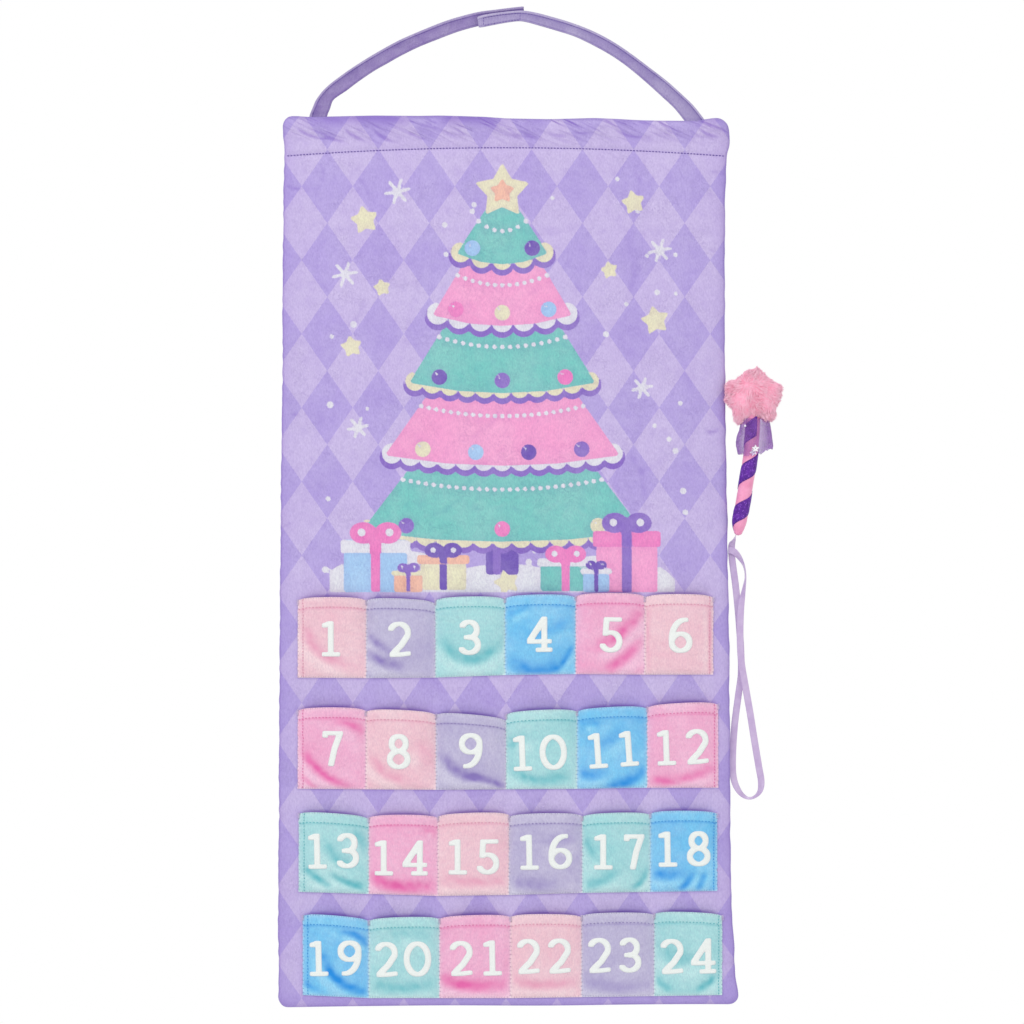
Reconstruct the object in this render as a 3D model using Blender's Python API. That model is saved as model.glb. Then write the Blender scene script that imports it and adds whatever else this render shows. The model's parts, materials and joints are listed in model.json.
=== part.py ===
"""Plush advent calendar: a padded cloth wall hanging.

A printed front cover and a plain back cover are sewn round a sheet of wadding.
A rod lies in the casing along the top edge, and 24 pockets stand in four rows on
the front. The calendar hangs from a strap in two halves that meet in a
hook-and-loop closure. A plush star wand, which marks the day, is tied to the
side seam by a long ribbon.

Lengths are in metres. +Z is up, the front faces -Y and +X is to the right as the
front is seen. The origin is the point under the strap's crown where a hook bears.
"""

import math

import bmesh
import bpy
import numpy as np
from mathutils import Matrix, Vector

# The clearance between pieces that touch on the real object
SEAT_GAP = 0.0003
# How far a cutter runs past what it cuts
OVERRUN = 0.004

# Panel
PANEL_TOP_WIDTH = 0.404
PANEL_FLARE = 0.010
PANEL_HEIGHT = 0.813
PANEL_CORNER_RADIUS = 0.010
COVER_THICKNESS = 0.0015
WADDING_THICKNESS = 0.006
WADDING_BACK_SHARE = 0.45
EDGE_ROLL = 0.009
ROLL_STEPS = 4
PANEL_COLUMNS = 6
PANEL_ROWS = 6

# Casing along the top edge, with the rod that keeps it straight
CASING_HEIGHT = 0.030
PINCH_WIDTH = 0.008
PINCH_STEPS = 3
ROD_DIAMETER = 0.008
ROD_HEADROOM = 0.0018
ROD_END_ROOM = 0.006
ROD_CHAMFER = 0.0008
ROD_SIDES = 20

# Pockets, in rows whose mouths lie at shares of the panel's height below its top
POCKET_ROW_SHARES = (0.5400, 0.6648, 0.7835, 0.8967)
POCKET_ROW_SHIFTS = (0.0, 0.002, 0.003, 0.005)
POCKETS_PER_ROW = 6
POCKET_SIDE_MARGIN = 0.0115
POCKET_HEIGHT = 0.073
POCKET_GAPE = 0.008
POCKET_WALL = 0.0015
POCKET_ROLL = 0.008
POCKET_ROLL_STEPS = 3
POCKET_COLUMNS = 4
POCKET_MOUTH_SAG = 0.0015
HEM_HEIGHT = 0.009
HEM_EXTRA = 0.0008
HEM_STEP = 0.0006
POCKET_FABRICS = (
    ("blush", "lavender", "mint", "sky", "pink", "blush"),
    ("pink", "blush", "lavender", "mint", "sky", "pink"),
    ("mint", "pink", "blush", "lavender", "mint", "sky"),
    ("sky", "mint", "pink", "blush", "lavender", "mint"),
)

# Strap in two halves, and the closure where they overlap
STRAP_INSET = 0.032
STRAP_RISE = 0.0905
STRAP_WIDTH = 0.015
STRAP_THICKNESS = 0.0024
STRAP_EDGE_ROLL = 0.0007
STRAP_STEPS = 14
LEFT_TAB_START = 0.030
LEFT_TAB_LENGTH = 0.048
RIGHT_TAB_START = 0.014
RIGHT_TAB_LENGTH = 0.041
TAB_STEPS = 3
NOSE_ANGLES = (30, 60, 80)
TAPE_LENGTH = 0.036
TAPE_WIDTH = 0.010
TAPE_THICKNESS = 0.0009
TAPE_CORNER = 0.0015

# Wand: a bent, stuffed stick with a round tip at the ribbon and its top in the star.
# Its length runs from the swing axis to the star's centre, which lies to the right by the lean.
WAND_DROP_SHARE = 0.4674
WAND_STANDOFF = 0.0096
WAND_LENGTH = 0.1244
WAND_LEAN = 0.0132
WAND_BOW = 0.0062
WAND_BOW_POWER = 1.4
STICK_RADIUS = 0.0066
TIP_RADIUS = 0.003
TIP_STEPS = 3
STICK_TAPER = 0.012
TAPER_STEPS = 3
SLEEVE_WALL = 0.0008
STICK_IN_STAR = 0.012
STICK_SIDES = 16
STICK_STEPS = 11
TIP_Y = -0.0040

# Purple ribbon wound down the stick from under the skirt, flatter across the front
WRAP_PITCH = 0.0378
WRAP_WIDTH = 0.0185
WRAP_THICKNESS = 0.0007
WRAP_TOP_CROSSING_BELOW_SKIRT_TOP = 0.0057
WRAP_LOW_END = 0.0120
WRAP_FLATNESS_SHARE = 0.6
WRAP_PAST_TOP_CROSSING = math.radians(30)
WRAP_STEP = math.radians(15)
WRAP_COLUMNS = 4

# Plush star
STAR_RADIUS = 0.0262
STAR_VALLEY_SHARE = 0.78
STAR_HALF_THICKNESS = 0.0125
STAR_SKIN = 0.0015
STAR_POINTS = 5
STAR_TURN = math.radians(6)
STAR_POINT_SHARPNESS = 1.25
STAR_SIDES = 50
STAR_RINGS = 9

# Sheer skirt under the star, open in a V at the front
SKIRT_BELOW_STAR = 0.0229
SKIRT_HEIGHT = 0.031
SKIRT_WALL = 0.0006
SKIRT_LEFT_REACH = 0.0155
SKIRT_RIGHT_REACH = 0.0195
SKIRT_DEPTH_REACH = 0.0092
SKIRT_OPENING = math.radians(30)
SKIRT_WAVES = 7
SKIRT_WAVE_HEIGHT = 0.0009
SKIRT_AROUND = 40
SKIRT_DOWN = 5

# Trims on the wand
FLOWER_RADIUS = 0.0036
FLOWER_VALLEY_SHARE = 0.5
FLOWER_THICKNESS = 0.0006
FLOWER_PETALS = 5
FLOWER_POINTS = 40
UPPER_FLOWER_BELOW_SKIRT_TOP = 0.0240
UPPER_FLOWER_ASIDE = 0.0005
LOWER_FLOWER_BELOW_SKIRT_TOP = 0.0280
LOWER_FLOWER_ASIDE = -0.0005
BEAD_RADIUS = 0.0011
BEAD_BELOW_SKIRT_TOP = 0.0035
BEAD_DEGREES = 148

# Ribbon that ties the wand to the side seam. It runs from the seam to the tip:
# metres right of the panel's edge, towards the back, and below the wand's swing
# axis, with the turn of its flat side about its own length in degrees.
RIBBON_WIDTH = 0.0062
RIBBON_THICKNESS = 0.0005
RIBBON_DROP = 0.0165
RIBBON_SAMPLES = 120
RIBBON_ROUTE = (
    (0.0006, 0.0000, 0.0165, 0),
    (0.0025, -0.0002, 0.0166, 0),
    (0.0060, -0.0018, 0.0180, 15),
    (0.0106, -0.0030, 0.0230, 45),
    (0.0148, -0.0036, 0.0310, 75),
    (0.0162, -0.0036, 0.0410, 80),
    (0.0146, -0.0036, 0.0530, 60),
    (0.0124, -0.0036, 0.0660, 25),
    (0.0114, -0.0036, 0.0820, 10),
    (0.0114, -0.0036, 0.1000, 0),
    (0.0126, -0.0034, 0.1200, 0),
    (0.0160, -0.0030, 0.1400, 0),
    (0.0204, -0.0026, 0.1650, 0),
    (0.0244, -0.0020, 0.1900, 0),
    (0.0286, -0.0012, 0.2150, 5),
    (0.0308, -0.0006, 0.2280, 15),
    (0.0298, 0.0000, 0.2370, 45),
    (0.0250, 0.0004, 0.2425, 70),
    (0.0190, 0.0008, 0.2438, 70),
    (0.0126, 0.0012, 0.2400, 45),
    (0.0074, 0.0016, 0.2315, 20),
    (0.0050, 0.0020, 0.2200, 10),
    (0.0050, 0.0022, 0.2000, 0),
    (0.0068, 0.0022, 0.1750, 0),
    (0.0100, 0.0020, 0.1500, 0),
    (0.0126, 0.0020, 0.1300, 0),
    (0.0124, 0.0020, 0.1100, 0),
    (0.0112, 0.0020, 0.0900, 0),
    (0.0096, 0.0020, 0.0700, 0),
    (0.0076, 0.0020, 0.0500, 0),
    (0.0056, 0.0020, 0.0350, 0),
    (0.0042, 0.0020, 0.0240, 0),
    (0.0038, 0.0017, 0.0155, 0),
    (0.0042, 0.0010, 0.0105, 20),
    (0.0057, -0.0021, 0.0065, 65),
    (0.0073, -0.0040, 0.0029, 90),
)

# Colour, roughness and metallic value of each material
MATERIALS = {
    "print": ((0.56, 0.46, 0.78), 0.85, 0.0),
    "back_cloth": ((0.56, 0.46, 0.78), 0.9, 0.0),
    "wadding": ((0.93, 0.93, 0.92), 1.0, 0.0),
    "wood": ((0.72, 0.54, 0.34), 0.6, 0.0),
    "strap": ((0.42, 0.33, 0.60), 0.85, 0.0),
    "closure": ((0.50, 0.42, 0.66), 0.8, 0.0),
    "blush": ((0.86, 0.52, 0.58), 0.85, 0.0),
    "lavender": ((0.47, 0.42, 0.68), 0.85, 0.0),
    "mint": ((0.30, 0.68, 0.66), 0.85, 0.0),
    "sky": ((0.17, 0.52, 0.83), 0.85, 0.0),
    "pink": ((0.88, 0.38, 0.60), 0.85, 0.0),
    "ribbon": ((0.58, 0.44, 0.74), 0.4, 0.0),
    "wand_satin": ((0.91, 0.36, 0.62), 0.45, 0.0),
    "wand_glitter": ((0.16, 0.04, 0.42), 0.35, 0.2),
    "fur": ((0.94, 0.42, 0.55), 0.95, 0.0),
    "organza": ((0.35, 0.20, 0.52), 0.4, 0.0),
    "sequin": ((0.90, 0.90, 0.90), 0.25, 0.0),
}

# Depths on each side of the seam plane, worked out from what lies inside
RIM = SEAT_GAP / 2
BACK_DEPTH = WADDING_THICKNESS * WADDING_BACK_SHARE + SEAT_GAP + COVER_THICKNESS
FRONT_DEPTH = WADDING_THICKNESS * (1 - WADDING_BACK_SHARE) + SEAT_GAP + COVER_THICKNESS
ROD_Y = BACK_DEPTH - COVER_THICKNESS - SEAT_GAP - ROD_DIAMETER / 2
CASING_DEPTH = ROD_DIAMETER / 2 - ROD_Y + SEAT_GAP + COVER_THICKNESS
STITCH_DEPTH = COVER_THICKNESS + RIM

# The strap's arch, and the heights that follow from it
STRAP_SPAN = PANEL_TOP_WIDTH - 2 * STRAP_INSET
ARCH_RADIUS = ((STRAP_SPAN / 2) ** 2 + STRAP_RISE**2) / (2 * STRAP_RISE)
ARCH_CENTRE = STRAP_RISE - ARCH_RADIUS
TAB_SLOPE = math.asin(LEFT_TAB_START / ARCH_RADIUS)
TAB_DIRECTION = np.array((math.cos(TAB_SLOPE), math.sin(TAB_SLOPE)))
LAP_SHIFT = STRAP_THICKNESS / 2 + TAPE_THICKNESS + SEAT_GAP * 3 / 2


def arch_height(x):
    """Height of the arch's centre line over the hinge line."""
    return math.sqrt(ARCH_RADIUS**2 - x**2) + ARCH_CENTRE


HINGE_Z = -(
    arch_height(RIGHT_TAB_START)
    - RIGHT_TAB_START * math.tan(TAB_SLOPE)
    - STRAP_WIDTH / 2 / math.cos(TAB_SLOPE)
)
PANEL_TOP_Z = HINGE_Z - STRAP_THICKNESS / 2 - SEAT_GAP


def panel_edge(drop):
    """Half the panel's width at a distance below its top, corners left out."""
    return (PANEL_TOP_WIDTH + PANEL_FLARE * drop / PANEL_HEIGHT) / 2


# The pockets fill the width between the side margins
POCKET_PITCH = (PANEL_TOP_WIDTH - 2 * POCKET_SIDE_MARGIN) / POCKETS_PER_ROW

# The wand's places
WAND_DROP = PANEL_HEIGHT * WAND_DROP_SHARE
WAND_X = panel_edge(WAND_DROP) + WAND_STANDOFF
WAND_Z = PANEL_TOP_Z - WAND_DROP
STAR_Y = BACK_DEPTH - STAR_HALF_THICKNESS
WAND_TILT = math.asin(WAND_LEAN / WAND_LENGTH)
SKIRT_TOP = WAND_LENGTH - SKIRT_BELOW_STAR
STICK_TOP = SKIRT_TOP + STICK_IN_STAR
WRAP_TOP_CROSSING = SKIRT_TOP - WRAP_TOP_CROSSING_BELOW_SKIRT_TOP
WRAP_REACH = SEAT_GAP + WRAP_THICKNESS
SOCKET_RADIUS = STICK_RADIUS + WRAP_REACH + SEAT_GAP


# Mesh helpers
def new_object(name, mesh, material, pivot):
    """Links a mesh as an object that hangs from its pivot and keeps its place."""
    piece = bpy.data.objects.new(name, mesh)
    bpy.context.scene.collection.objects.link(piece)
    piece.data.materials.append(bpy.data.materials[material])
    if pivot is not None:
        piece.parent = pivot
        piece.matrix_parent_inverse = pivot.matrix_world.inverted()
    return piece


def finished_mesh(name, shape, sharp_angle=math.radians(40)):
    """Turns a bmesh into a mesh whose faces point out and whose round parts shade smooth."""
    bmesh.ops.recalc_face_normals(shape, faces=shape.faces)
    mesh = bpy.data.meshes.new(name)
    shape.to_mesh(mesh)
    shape.free()
    mesh.shade_smooth()
    mesh.set_sharp_from_angle(angle=sharp_angle)
    return mesh


def closed_between(name, outer, inner, twisted=False):
    """A solid between two grids of points of the same size, joined along their borders.

    A twisted sheet is laid in triangles, so that both faces fold along the same diagonals.
    """
    rows, columns = outer.shape[:2]
    shape = bmesh.new()
    skins = [
        [[shape.verts.new(point) for point in row] for row in grid]
        for grid in (outer, inner)
    ]
    for skin in skins:
        for i in range(rows - 1):
            for j in range(columns - 1):
                quad = (skin[i][j], skin[i + 1][j], skin[i + 1][j + 1], skin[i][j + 1])
                for face in (quad[:3], quad[2:] + quad[:1]) if twisted else (quad,):
                    shape.faces.new(face)
    border = [(0, j) for j in range(columns - 1)]
    border += [(i, columns - 1) for i in range(rows - 1)]
    border += [(rows - 1, j) for j in range(columns - 1, 0, -1)]
    border += [(i, 0) for i in range(rows - 1, 0, -1)]
    for (i, j), (k, m) in zip(border, border[1:] + border[:1]):
        shape.faces.new((skins[0][i][j], skins[0][k][m], skins[1][k][m], skins[1][i][j]))
    return finished_mesh(name, shape)


def lofted(name, rings):
    """A solid through closed rings of points, with a flat cap at each end."""
    shape = bmesh.new()
    loops = [[shape.verts.new(point) for point in ring] for ring in rings]
    for one, two in zip(loops, loops[1:]):
        for j in range(len(one)):
            k = (j + 1) % len(one)
            shape.faces.new((one[j], one[k], two[k], two[j]))
    shape.faces.new(loops[0])
    shape.faces.new(loops[-1])
    return finished_mesh(name, shape)


def roll_angles(steps):
    return np.linspace(0, math.pi / 2, steps + 1)


# Panel: the covers and the wadding between them
def half_width(drop, inset):
    """Half the panel's width at a row, drawn in by inset and round its corners."""
    corner = PANEL_CORNER_RADIUS - inset
    from_end = min(drop - inset, PANEL_HEIGHT - inset - drop)
    width = panel_edge(drop) - inset
    if from_end < corner:
        width -= corner - math.sqrt(corner**2 - (corner - from_end) ** 2)
    return width


def panel_grid(side, rows, inset):
    """Points of one face of the panel: rows of (drop, depth), rolled to the seam at both sides."""
    roll = EDGE_ROLL - inset
    angles = roll_angles(ROLL_STEPS)
    grid = []
    for drop, depth in rows:
        half = half_width(drop, inset)
        left = -half + roll * (1 - np.cos(angles))
        middle = np.linspace(roll - half, half - roll, PANEL_COLUMNS + 1)[1:-1]
        across = np.concatenate([left, middle, -left[::-1]])
        share = np.concatenate([np.sin(angles), np.ones(len(middle)), np.sin(angles)[::-1]])
        y = side * (RIM + (depth - RIM) * share)
        z = np.full(len(across), PANEL_TOP_Z - drop)
        grid.append(np.stack([across, y, z], axis=1))
    return np.array(grid)


def body_rows(top, depth, inset):
    """Rows down the padded part, from a top edge to the bottom seam."""
    roll = EDGE_ROLL - inset
    rows = [(drop, depth) for drop in np.linspace(top, PANEL_HEIGHT - EDGE_ROLL, PANEL_ROWS + 1)]
    for angle in roll_angles(ROLL_STEPS)[::-1][1:]:
        drop = PANEL_HEIGHT - inset - roll * (1 - math.cos(angle))
        rows.append((drop, RIM + (depth - RIM) * math.sin(angle)))
    return rows


def cover_rows(casing_depth, body_depth, inset):
    """Rows of a cover: rolled top, casing, the pinch at the stitch line, then the padded part."""
    roll = EDGE_ROLL - inset
    casing, body, stitch = (d - inset for d in (casing_depth, body_depth, STITCH_DEPTH))
    rows = []
    for angle in roll_angles(ROLL_STEPS):
        drop = inset + roll * (1 - math.cos(angle))
        rows.append((drop, RIM + (casing - RIM) * math.sin(angle)))
    for step in np.linspace(0, 1, PINCH_STEPS + 1):
        ease = (1 - math.cos(math.pi * step)) / 2
        rows.append((CASING_HEIGHT - PINCH_WIDTH * (1 - step), casing + (stitch - casing) * ease))
    for step in np.linspace(0, 1, PINCH_STEPS + 1)[1:-1]:
        ease = (1 - math.cos(math.pi * step)) / 2
        rows.append((CASING_HEIGHT + PINCH_WIDTH * step, stitch + (body - stitch) * ease))
    return rows + body_rows(CASING_HEIGHT + PINCH_WIDTH, body, inset)


def make_cover(name, side, casing_depth, body_depth, material, pivot):
    outer = panel_grid(side, cover_rows(casing_depth, body_depth, 0), 0)
    inner = panel_grid(side, cover_rows(casing_depth, body_depth, COVER_THICKNESS), COVER_THICKNESS)
    return new_object(name, closed_between(name, outer, inner), material, pivot)


def wadding_rows(depth, inset):
    top = CASING_HEIGHT + PINCH_WIDTH
    roll = EDGE_ROLL - inset
    rows = []
    for angle in roll_angles(ROLL_STEPS)[:-1]:
        rows.append((top + roll * (1 - math.cos(angle)), RIM + (depth - RIM) * math.sin(angle)))
    return rows + body_rows(top + roll, depth, inset)


def make_wadding(pivot):
    inset = COVER_THICKNESS + SEAT_GAP
    front = panel_grid(-1, wadding_rows(FRONT_DEPTH - inset, inset), inset)
    back = panel_grid(1, wadding_rows(BACK_DEPTH - inset, inset), inset)
    return new_object("wadding", closed_between("wadding", front, back), "wadding", pivot)


def make_rod(pivot):
    length = PANEL_TOP_WIDTH - 2 * (EDGE_ROLL + ROD_END_ROOM)
    shape = bmesh.new()
    bmesh.ops.create_cone(
        shape,
        cap_ends=True,
        segments=ROD_SIDES,
        radius1=ROD_DIAMETER / 2,
        radius2=ROD_DIAMETER / 2,
        depth=length,
        matrix=Matrix.Rotation(math.pi / 2, 4, "Y"),
    )
    drop = COVER_THICKNESS + ROD_HEADROOM + ROD_DIAMETER / 2
    bmesh.ops.translate(shape, verts=shape.verts, vec=(0, ROD_Y, PANEL_TOP_Z - drop))
    rims = [edge for edge in shape.edges if len(edge.link_faces[0].verts) != len(edge.link_faces[1].verts)]
    bmesh.ops.bevel(shape, geom=rims, offset=ROD_CHAMFER, segments=1, affect="EDGES")
    return new_object("hanging_rod", finished_mesh("hanging_rod", shape), "wood", pivot)


# Pockets
def pocket_grid(centre_x, top_drop, inset, hem):
    """One face of a pocket: rolled at the sides and bottom, open at the top."""
    roll = POCKET_ROLL - inset
    half = POCKET_PITCH / 2 - RIM - inset
    stand = POCKET_GAPE + POCKET_WALL - inset
    angles = roll_angles(POCKET_ROLL_STEPS)
    left = -half + roll * (1 - np.cos(angles))
    middle = np.linspace(roll - half, half - roll, POCKET_COLUMNS + 1)[1:-1]
    across = np.concatenate([left, middle, -left[::-1]])
    share = np.concatenate([np.sin(angles), np.ones(len(middle)), np.sin(angles)[::-1]])
    sag = POCKET_MOUTH_SAG * (1 - (across / half) ** 2)
    top = PANEL_TOP_Z - top_drop
    bottom = top - POCKET_HEIGHT
    rows = [(bottom + inset + roll * (1 - math.cos(a)), stand * math.sin(a), 0) for a in angles]
    rows.append((top - HEM_HEIGHT - HEM_STEP, stand, 1))
    rows.append((top - HEM_HEIGHT, stand + hem, 1))
    rows.append((top, stand + hem, 1))
    grid = []
    for z, depth, sagging in rows:
        y = -(FRONT_DEPTH + SEAT_GAP + depth * share)
        grid.append(np.stack([centre_x + across, y, z - sag * sagging], axis=1))
    return np.array(grid)


def make_pockets(pivot):
    number = 0
    for share, shift, fabrics in zip(POCKET_ROW_SHARES, POCKET_ROW_SHIFTS, POCKET_FABRICS):
        for column in range(POCKETS_PER_ROW):
            number += 1
            centre_x = shift + POCKET_PITCH * (column - (POCKETS_PER_ROW - 1) / 2)
            outer = pocket_grid(centre_x, PANEL_HEIGHT * share, 0, HEM_EXTRA)
            inner = pocket_grid(centre_x, PANEL_HEIGHT * share, POCKET_WALL, 0)
            name = f"pocket_{number:02d}"
            new_object(name, closed_between(name, outer, inner), fabrics[column], pivot)


# Strap
def strap_edge(side, edge, tab_start, tab_length):
    """Points (x, height over the hinge line) along one edge of a strap half, from root to tip."""
    radius = ARCH_RADIUS + edge * STRAP_WIDTH / 2
    root = math.asin(-ARCH_CENTRE / radius)
    crown = math.acos(tab_start / ARCH_RADIUS)
    angles = np.linspace(root, crown, STRAP_STEPS + 1)
    arch = np.stack([side * radius * np.cos(angles), radius * np.sin(angles) + ARCH_CENTRE], axis=1)
    start = np.array((side * tab_start, arch_height(tab_start)))
    normal = np.array((-TAB_DIRECTION[1], TAB_DIRECTION[0]))
    along = np.linspace(0, tab_length, TAB_STEPS + 1)[1:, None]
    tab = start + edge * normal * STRAP_WIDTH / 2 - side * TAB_DIRECTION * along
    return np.concatenate([arch, tab])


def strap_ring(low, high, middle, half):
    """The band's section between two edge points, its long edges rolled, at a depth."""
    roll = STRAP_EDGE_ROLL * (high - low) / np.linalg.norm(high - low)
    soft = half * (1 - STRAP_EDGE_ROLL / STRAP_THICKNESS * 2)
    front = [(low, -soft), (low + roll, -half), (high - roll, -half), (high, -soft)]
    section = front + [(point, -depth) for point, depth in front[::-1]]
    return [(x, middle + depth, HINGE_Z + height) for (x, height), depth in section]


def make_strap(name, side, tab_start, tab_length, pivot):
    """A flat band with a round nose on the hinge line. The halves part in depth towards the lap."""
    inner = strap_edge(side, -1, tab_start, tab_length)
    outer = strap_edge(side, 1, tab_start, tab_length)
    half = STRAP_THICKNESS / 2
    rings = []
    for degrees in NOSE_ANGLES[::-1]:
        angle = math.radians(degrees)
        drop = (0, half * math.sin(angle))
        rings.append(strap_ring(inner[0] - drop, outer[0] - drop, 0, half * math.cos(angle)))
    for i, (low, high) in enumerate(zip(inner, outer)):
        share = min(i / STRAP_STEPS, 1)
        rings.append(strap_ring(low, high, -side * LAP_SHIFT * share**2 * (3 - 2 * share), half))
    return new_object(name, lofted(name, rings), "strap", pivot)


def make_tape(name, y, pivot):
    """A closure tape with round corners, lying along the tabs where the halves overlap."""
    left_end = LEFT_TAB_LENGTH - LEFT_TAB_START
    right_end = RIGHT_TAB_LENGTH - RIGHT_TAB_START
    centre_x = (left_end - right_end) / 2
    rise = math.tan(TAB_SLOPE)
    on_left = arch_height(LEFT_TAB_START) + (centre_x + LEFT_TAB_START) * rise
    on_right = arch_height(RIGHT_TAB_START) + (centre_x - RIGHT_TAB_START) * rise
    shape = bmesh.new()
    size = Matrix.Diagonal((TAPE_LENGTH, TAPE_THICKNESS, TAPE_WIDTH, 1))
    bmesh.ops.create_cube(shape, size=1, matrix=size)
    corners = [edge for edge in shape.edges if abs((edge.verts[0].co - edge.verts[1].co).y) > TAPE_THICKNESS / 2]
    bmesh.ops.bevel(shape, geom=corners, offset=TAPE_CORNER, segments=3, affect="EDGES", profile=0.5)
    turn = Matrix.Rotation(-TAB_SLOPE, 4, "Y")
    place = Matrix.Translation((centre_x, y, HINGE_Z + (on_left + on_right) / 2))
    bmesh.ops.transform(shape, matrix=place @ turn, verts=shape.verts)
    return new_object(name, finished_mesh(name, shape), "closure", pivot)


# Wand
def wand_frame(along):
    """Centre of the stick at a distance above the swing axis, and the directions right and front."""
    share = along / WAND_LENGTH
    bent = max(share, 0) ** WAND_BOW_POWER
    centre = Vector(
        (
            WAND_X + along * math.sin(WAND_TILT) + WAND_BOW * math.sin(math.pi * bent),
            TIP_Y + (STAR_Y - TIP_Y) * share,
            WAND_Z + along * math.cos(WAND_TILT),
        )
    )
    bend_rate = math.pi * WAND_BOW_POWER / WAND_LENGTH * max(share, 0) ** (WAND_BOW_POWER - 1)
    lean = WAND_BOW * bend_rate * math.cos(math.pi * bent)
    forward = Vector((math.sin(WAND_TILT) + lean, (STAR_Y - TIP_Y) / WAND_LENGTH, math.cos(WAND_TILT)))
    forward.normalize()
    right = Vector((0, 1, 0)).cross(forward).normalized()
    return centre, right, right.cross(forward)


def around(along, radius, angle):
    """A point at an angle round the stick: 0 is to the right and a quarter turn is the front."""
    centre, right, front = wand_frame(along)
    return centre + (right * math.cos(angle) + front * math.sin(angle)) * radius


def stick_radius(along):
    """A ball round the swing axis, then a taper that swells to the full stick."""
    if along >= STICK_TAPER:
        return STICK_RADIUS
    if along > 0:
        swell = math.sin(math.pi / 2 * along / STICK_TAPER)
        return TIP_RADIUS + (STICK_RADIUS - TIP_RADIUS) * swell
    return math.sqrt(TIP_RADIUS**2 - along**2)


def stick_rings(inset):
    """Rings from the round tip to the top, drawn in by inset."""
    tip = [-(TIP_RADIUS - inset) * math.cos(a) for a in np.linspace(0, math.pi / 2, TIP_STEPS + 2)[1:-1]]
    taper = np.linspace(0, STICK_TAPER, TAPER_STEPS + 1)[:-1]
    stations = np.concatenate([tip, taper, np.linspace(STICK_TAPER, STICK_TOP, STICK_STEPS)])
    turns = np.arange(STICK_SIDES) * 2 * math.pi / STICK_SIDES
    rings = []
    for s in stations:
        radius = math.sqrt((TIP_RADIUS - inset) ** 2 - s**2) if s < 0 else stick_radius(s) - inset
        rings.append([around(s, radius, a) for a in turns])
    return rings


def make_stick(pivot):
    """A satin sleeve, closed at the tip and open in the star, over a soft core."""
    sleeve = lofted("wand_sleeve", stick_rings(0) + stick_rings(SLEEVE_WALL)[::-1])
    new_object("wand_sleeve", sleeve, "wand_satin", pivot)
    core = lofted("wand_core", stick_rings(SLEEVE_WALL + SEAT_GAP))
    new_object("wand_core", core, "wadding", pivot)


def wrap_along(turn):
    """How far up the stick the wound ribbon's middle is, a turn past its top front crossing."""
    return WRAP_TOP_CROSSING + WRAP_PITCH / (2 * math.pi) * (turn - WRAP_FLATNESS_SHARE * math.sin(turn))


def make_wrap(pivot):
    rings = []
    turn = WRAP_PAST_TOP_CROSSING
    while wrap_along(turn) > WRAP_LOW_END:
        middle = wrap_along(turn)
        angle = math.pi / 2 - turn
        across = middle + WRAP_WIDTH * np.linspace(-1 / 2, 1 / 2, WRAP_COLUMNS + 1)
        inside = [around(s, stick_radius(s) + SEAT_GAP, angle) for s in across]
        outside = [around(s, stick_radius(s) + WRAP_REACH, angle) for s in across]
        rings.append(inside + outside[::-1])
        turn -= WRAP_STEP
    return new_object("wand_ribbon_wrap", lofted("wand_ribbon_wrap", rings), "wand_glitter", pivot)


def star_outline(angle):
    """Radius of the star's outline: long at its points and shorter in the valleys."""
    wave = (1 + math.cos(STAR_POINTS * (angle - math.pi / 2 - STAR_TURN))) / 2
    valley = STAR_RADIUS * STAR_VALLEY_SHARE
    return valley + (STAR_RADIUS - valley) * wave**STAR_POINT_SHARPNESS


def star_solid(name, inset, material, pivot):
    """A star whose faces and points swell, drawn in by inset."""
    centre = wand_frame(WAND_LENGTH)[0]
    turns = np.arange(STAR_SIDES) * 2 * math.pi / STAR_SIDES
    rings = []
    for tilt in np.linspace(-math.pi / 2, math.pi / 2, STAR_RINGS + 2)[1:-1]:
        depth = Vector((0, (STAR_HALF_THICKNESS - inset) * math.sin(tilt), 0))
        reach = [(star_outline(a) - inset) * math.cos(tilt) for a in turns]
        rings.append(
            [centre + Vector((math.cos(a), 0, math.sin(a))) * r + depth for a, r in zip(turns, reach)]
        )
    return new_object(name, lofted(name, rings), material, pivot)


def cut(piece, cutter):
    cutter.hide_render = True
    cutter.display_type = "WIRE"
    step = piece.modifiers.new(cutter.name, "BOOLEAN")
    step.operation = "DIFFERENCE"
    step.object = cutter


def make_star(pivot):
    """A plush skin over its stuffing, with a socket in both for the top of the stick."""
    sides = np.arange(STICK_SIDES) * 2 * math.pi / STICK_SIDES
    stations = np.linspace(SKIRT_TOP - OVERRUN, STICK_TOP + SEAT_GAP, STICK_STEPS)
    rings = [[around(s, SOCKET_RADIUS, a) for a in sides] for s in stations]
    socket = new_object("star_socket_cutter", lofted("star_socket_cutter", rings), "fur", pivot)
    skin = star_solid("wand_star", 0, "fur", pivot)
    cut(skin, star_solid("star_hollow_cutter", STAR_SKIN, "fur", pivot))
    cut(skin, socket)
    cut(star_solid("star_stuffing", STAR_SKIN + SEAT_GAP, "wadding", pivot), socket)


def skirt_point(share_around, share_down, offset):
    """A point of the skirt: it widens downwards and its edges part at the front."""
    opening = SKIRT_OPENING * share_down
    angle = math.pi / 2 + opening + (2 * math.pi - 2 * opening) * share_around
    close = SOCKET_RADIUS + offset
    reach = SKIRT_RIGHT_REACH if math.cos(angle) > 0 else SKIRT_LEFT_REACH
    wave = SKIRT_WAVE_HEIGHT * share_down * math.cos(SKIRT_WAVES * angle)
    wide = close + (reach - close + offset) * share_down + wave
    deep = close + (SKIRT_DEPTH_REACH - close + offset) * share_down + wave
    centre, right, front = wand_frame(SKIRT_TOP - SKIRT_HEIGHT * share_down)
    return centre + right * wide * math.cos(angle) + front * deep * math.sin(angle)


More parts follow.
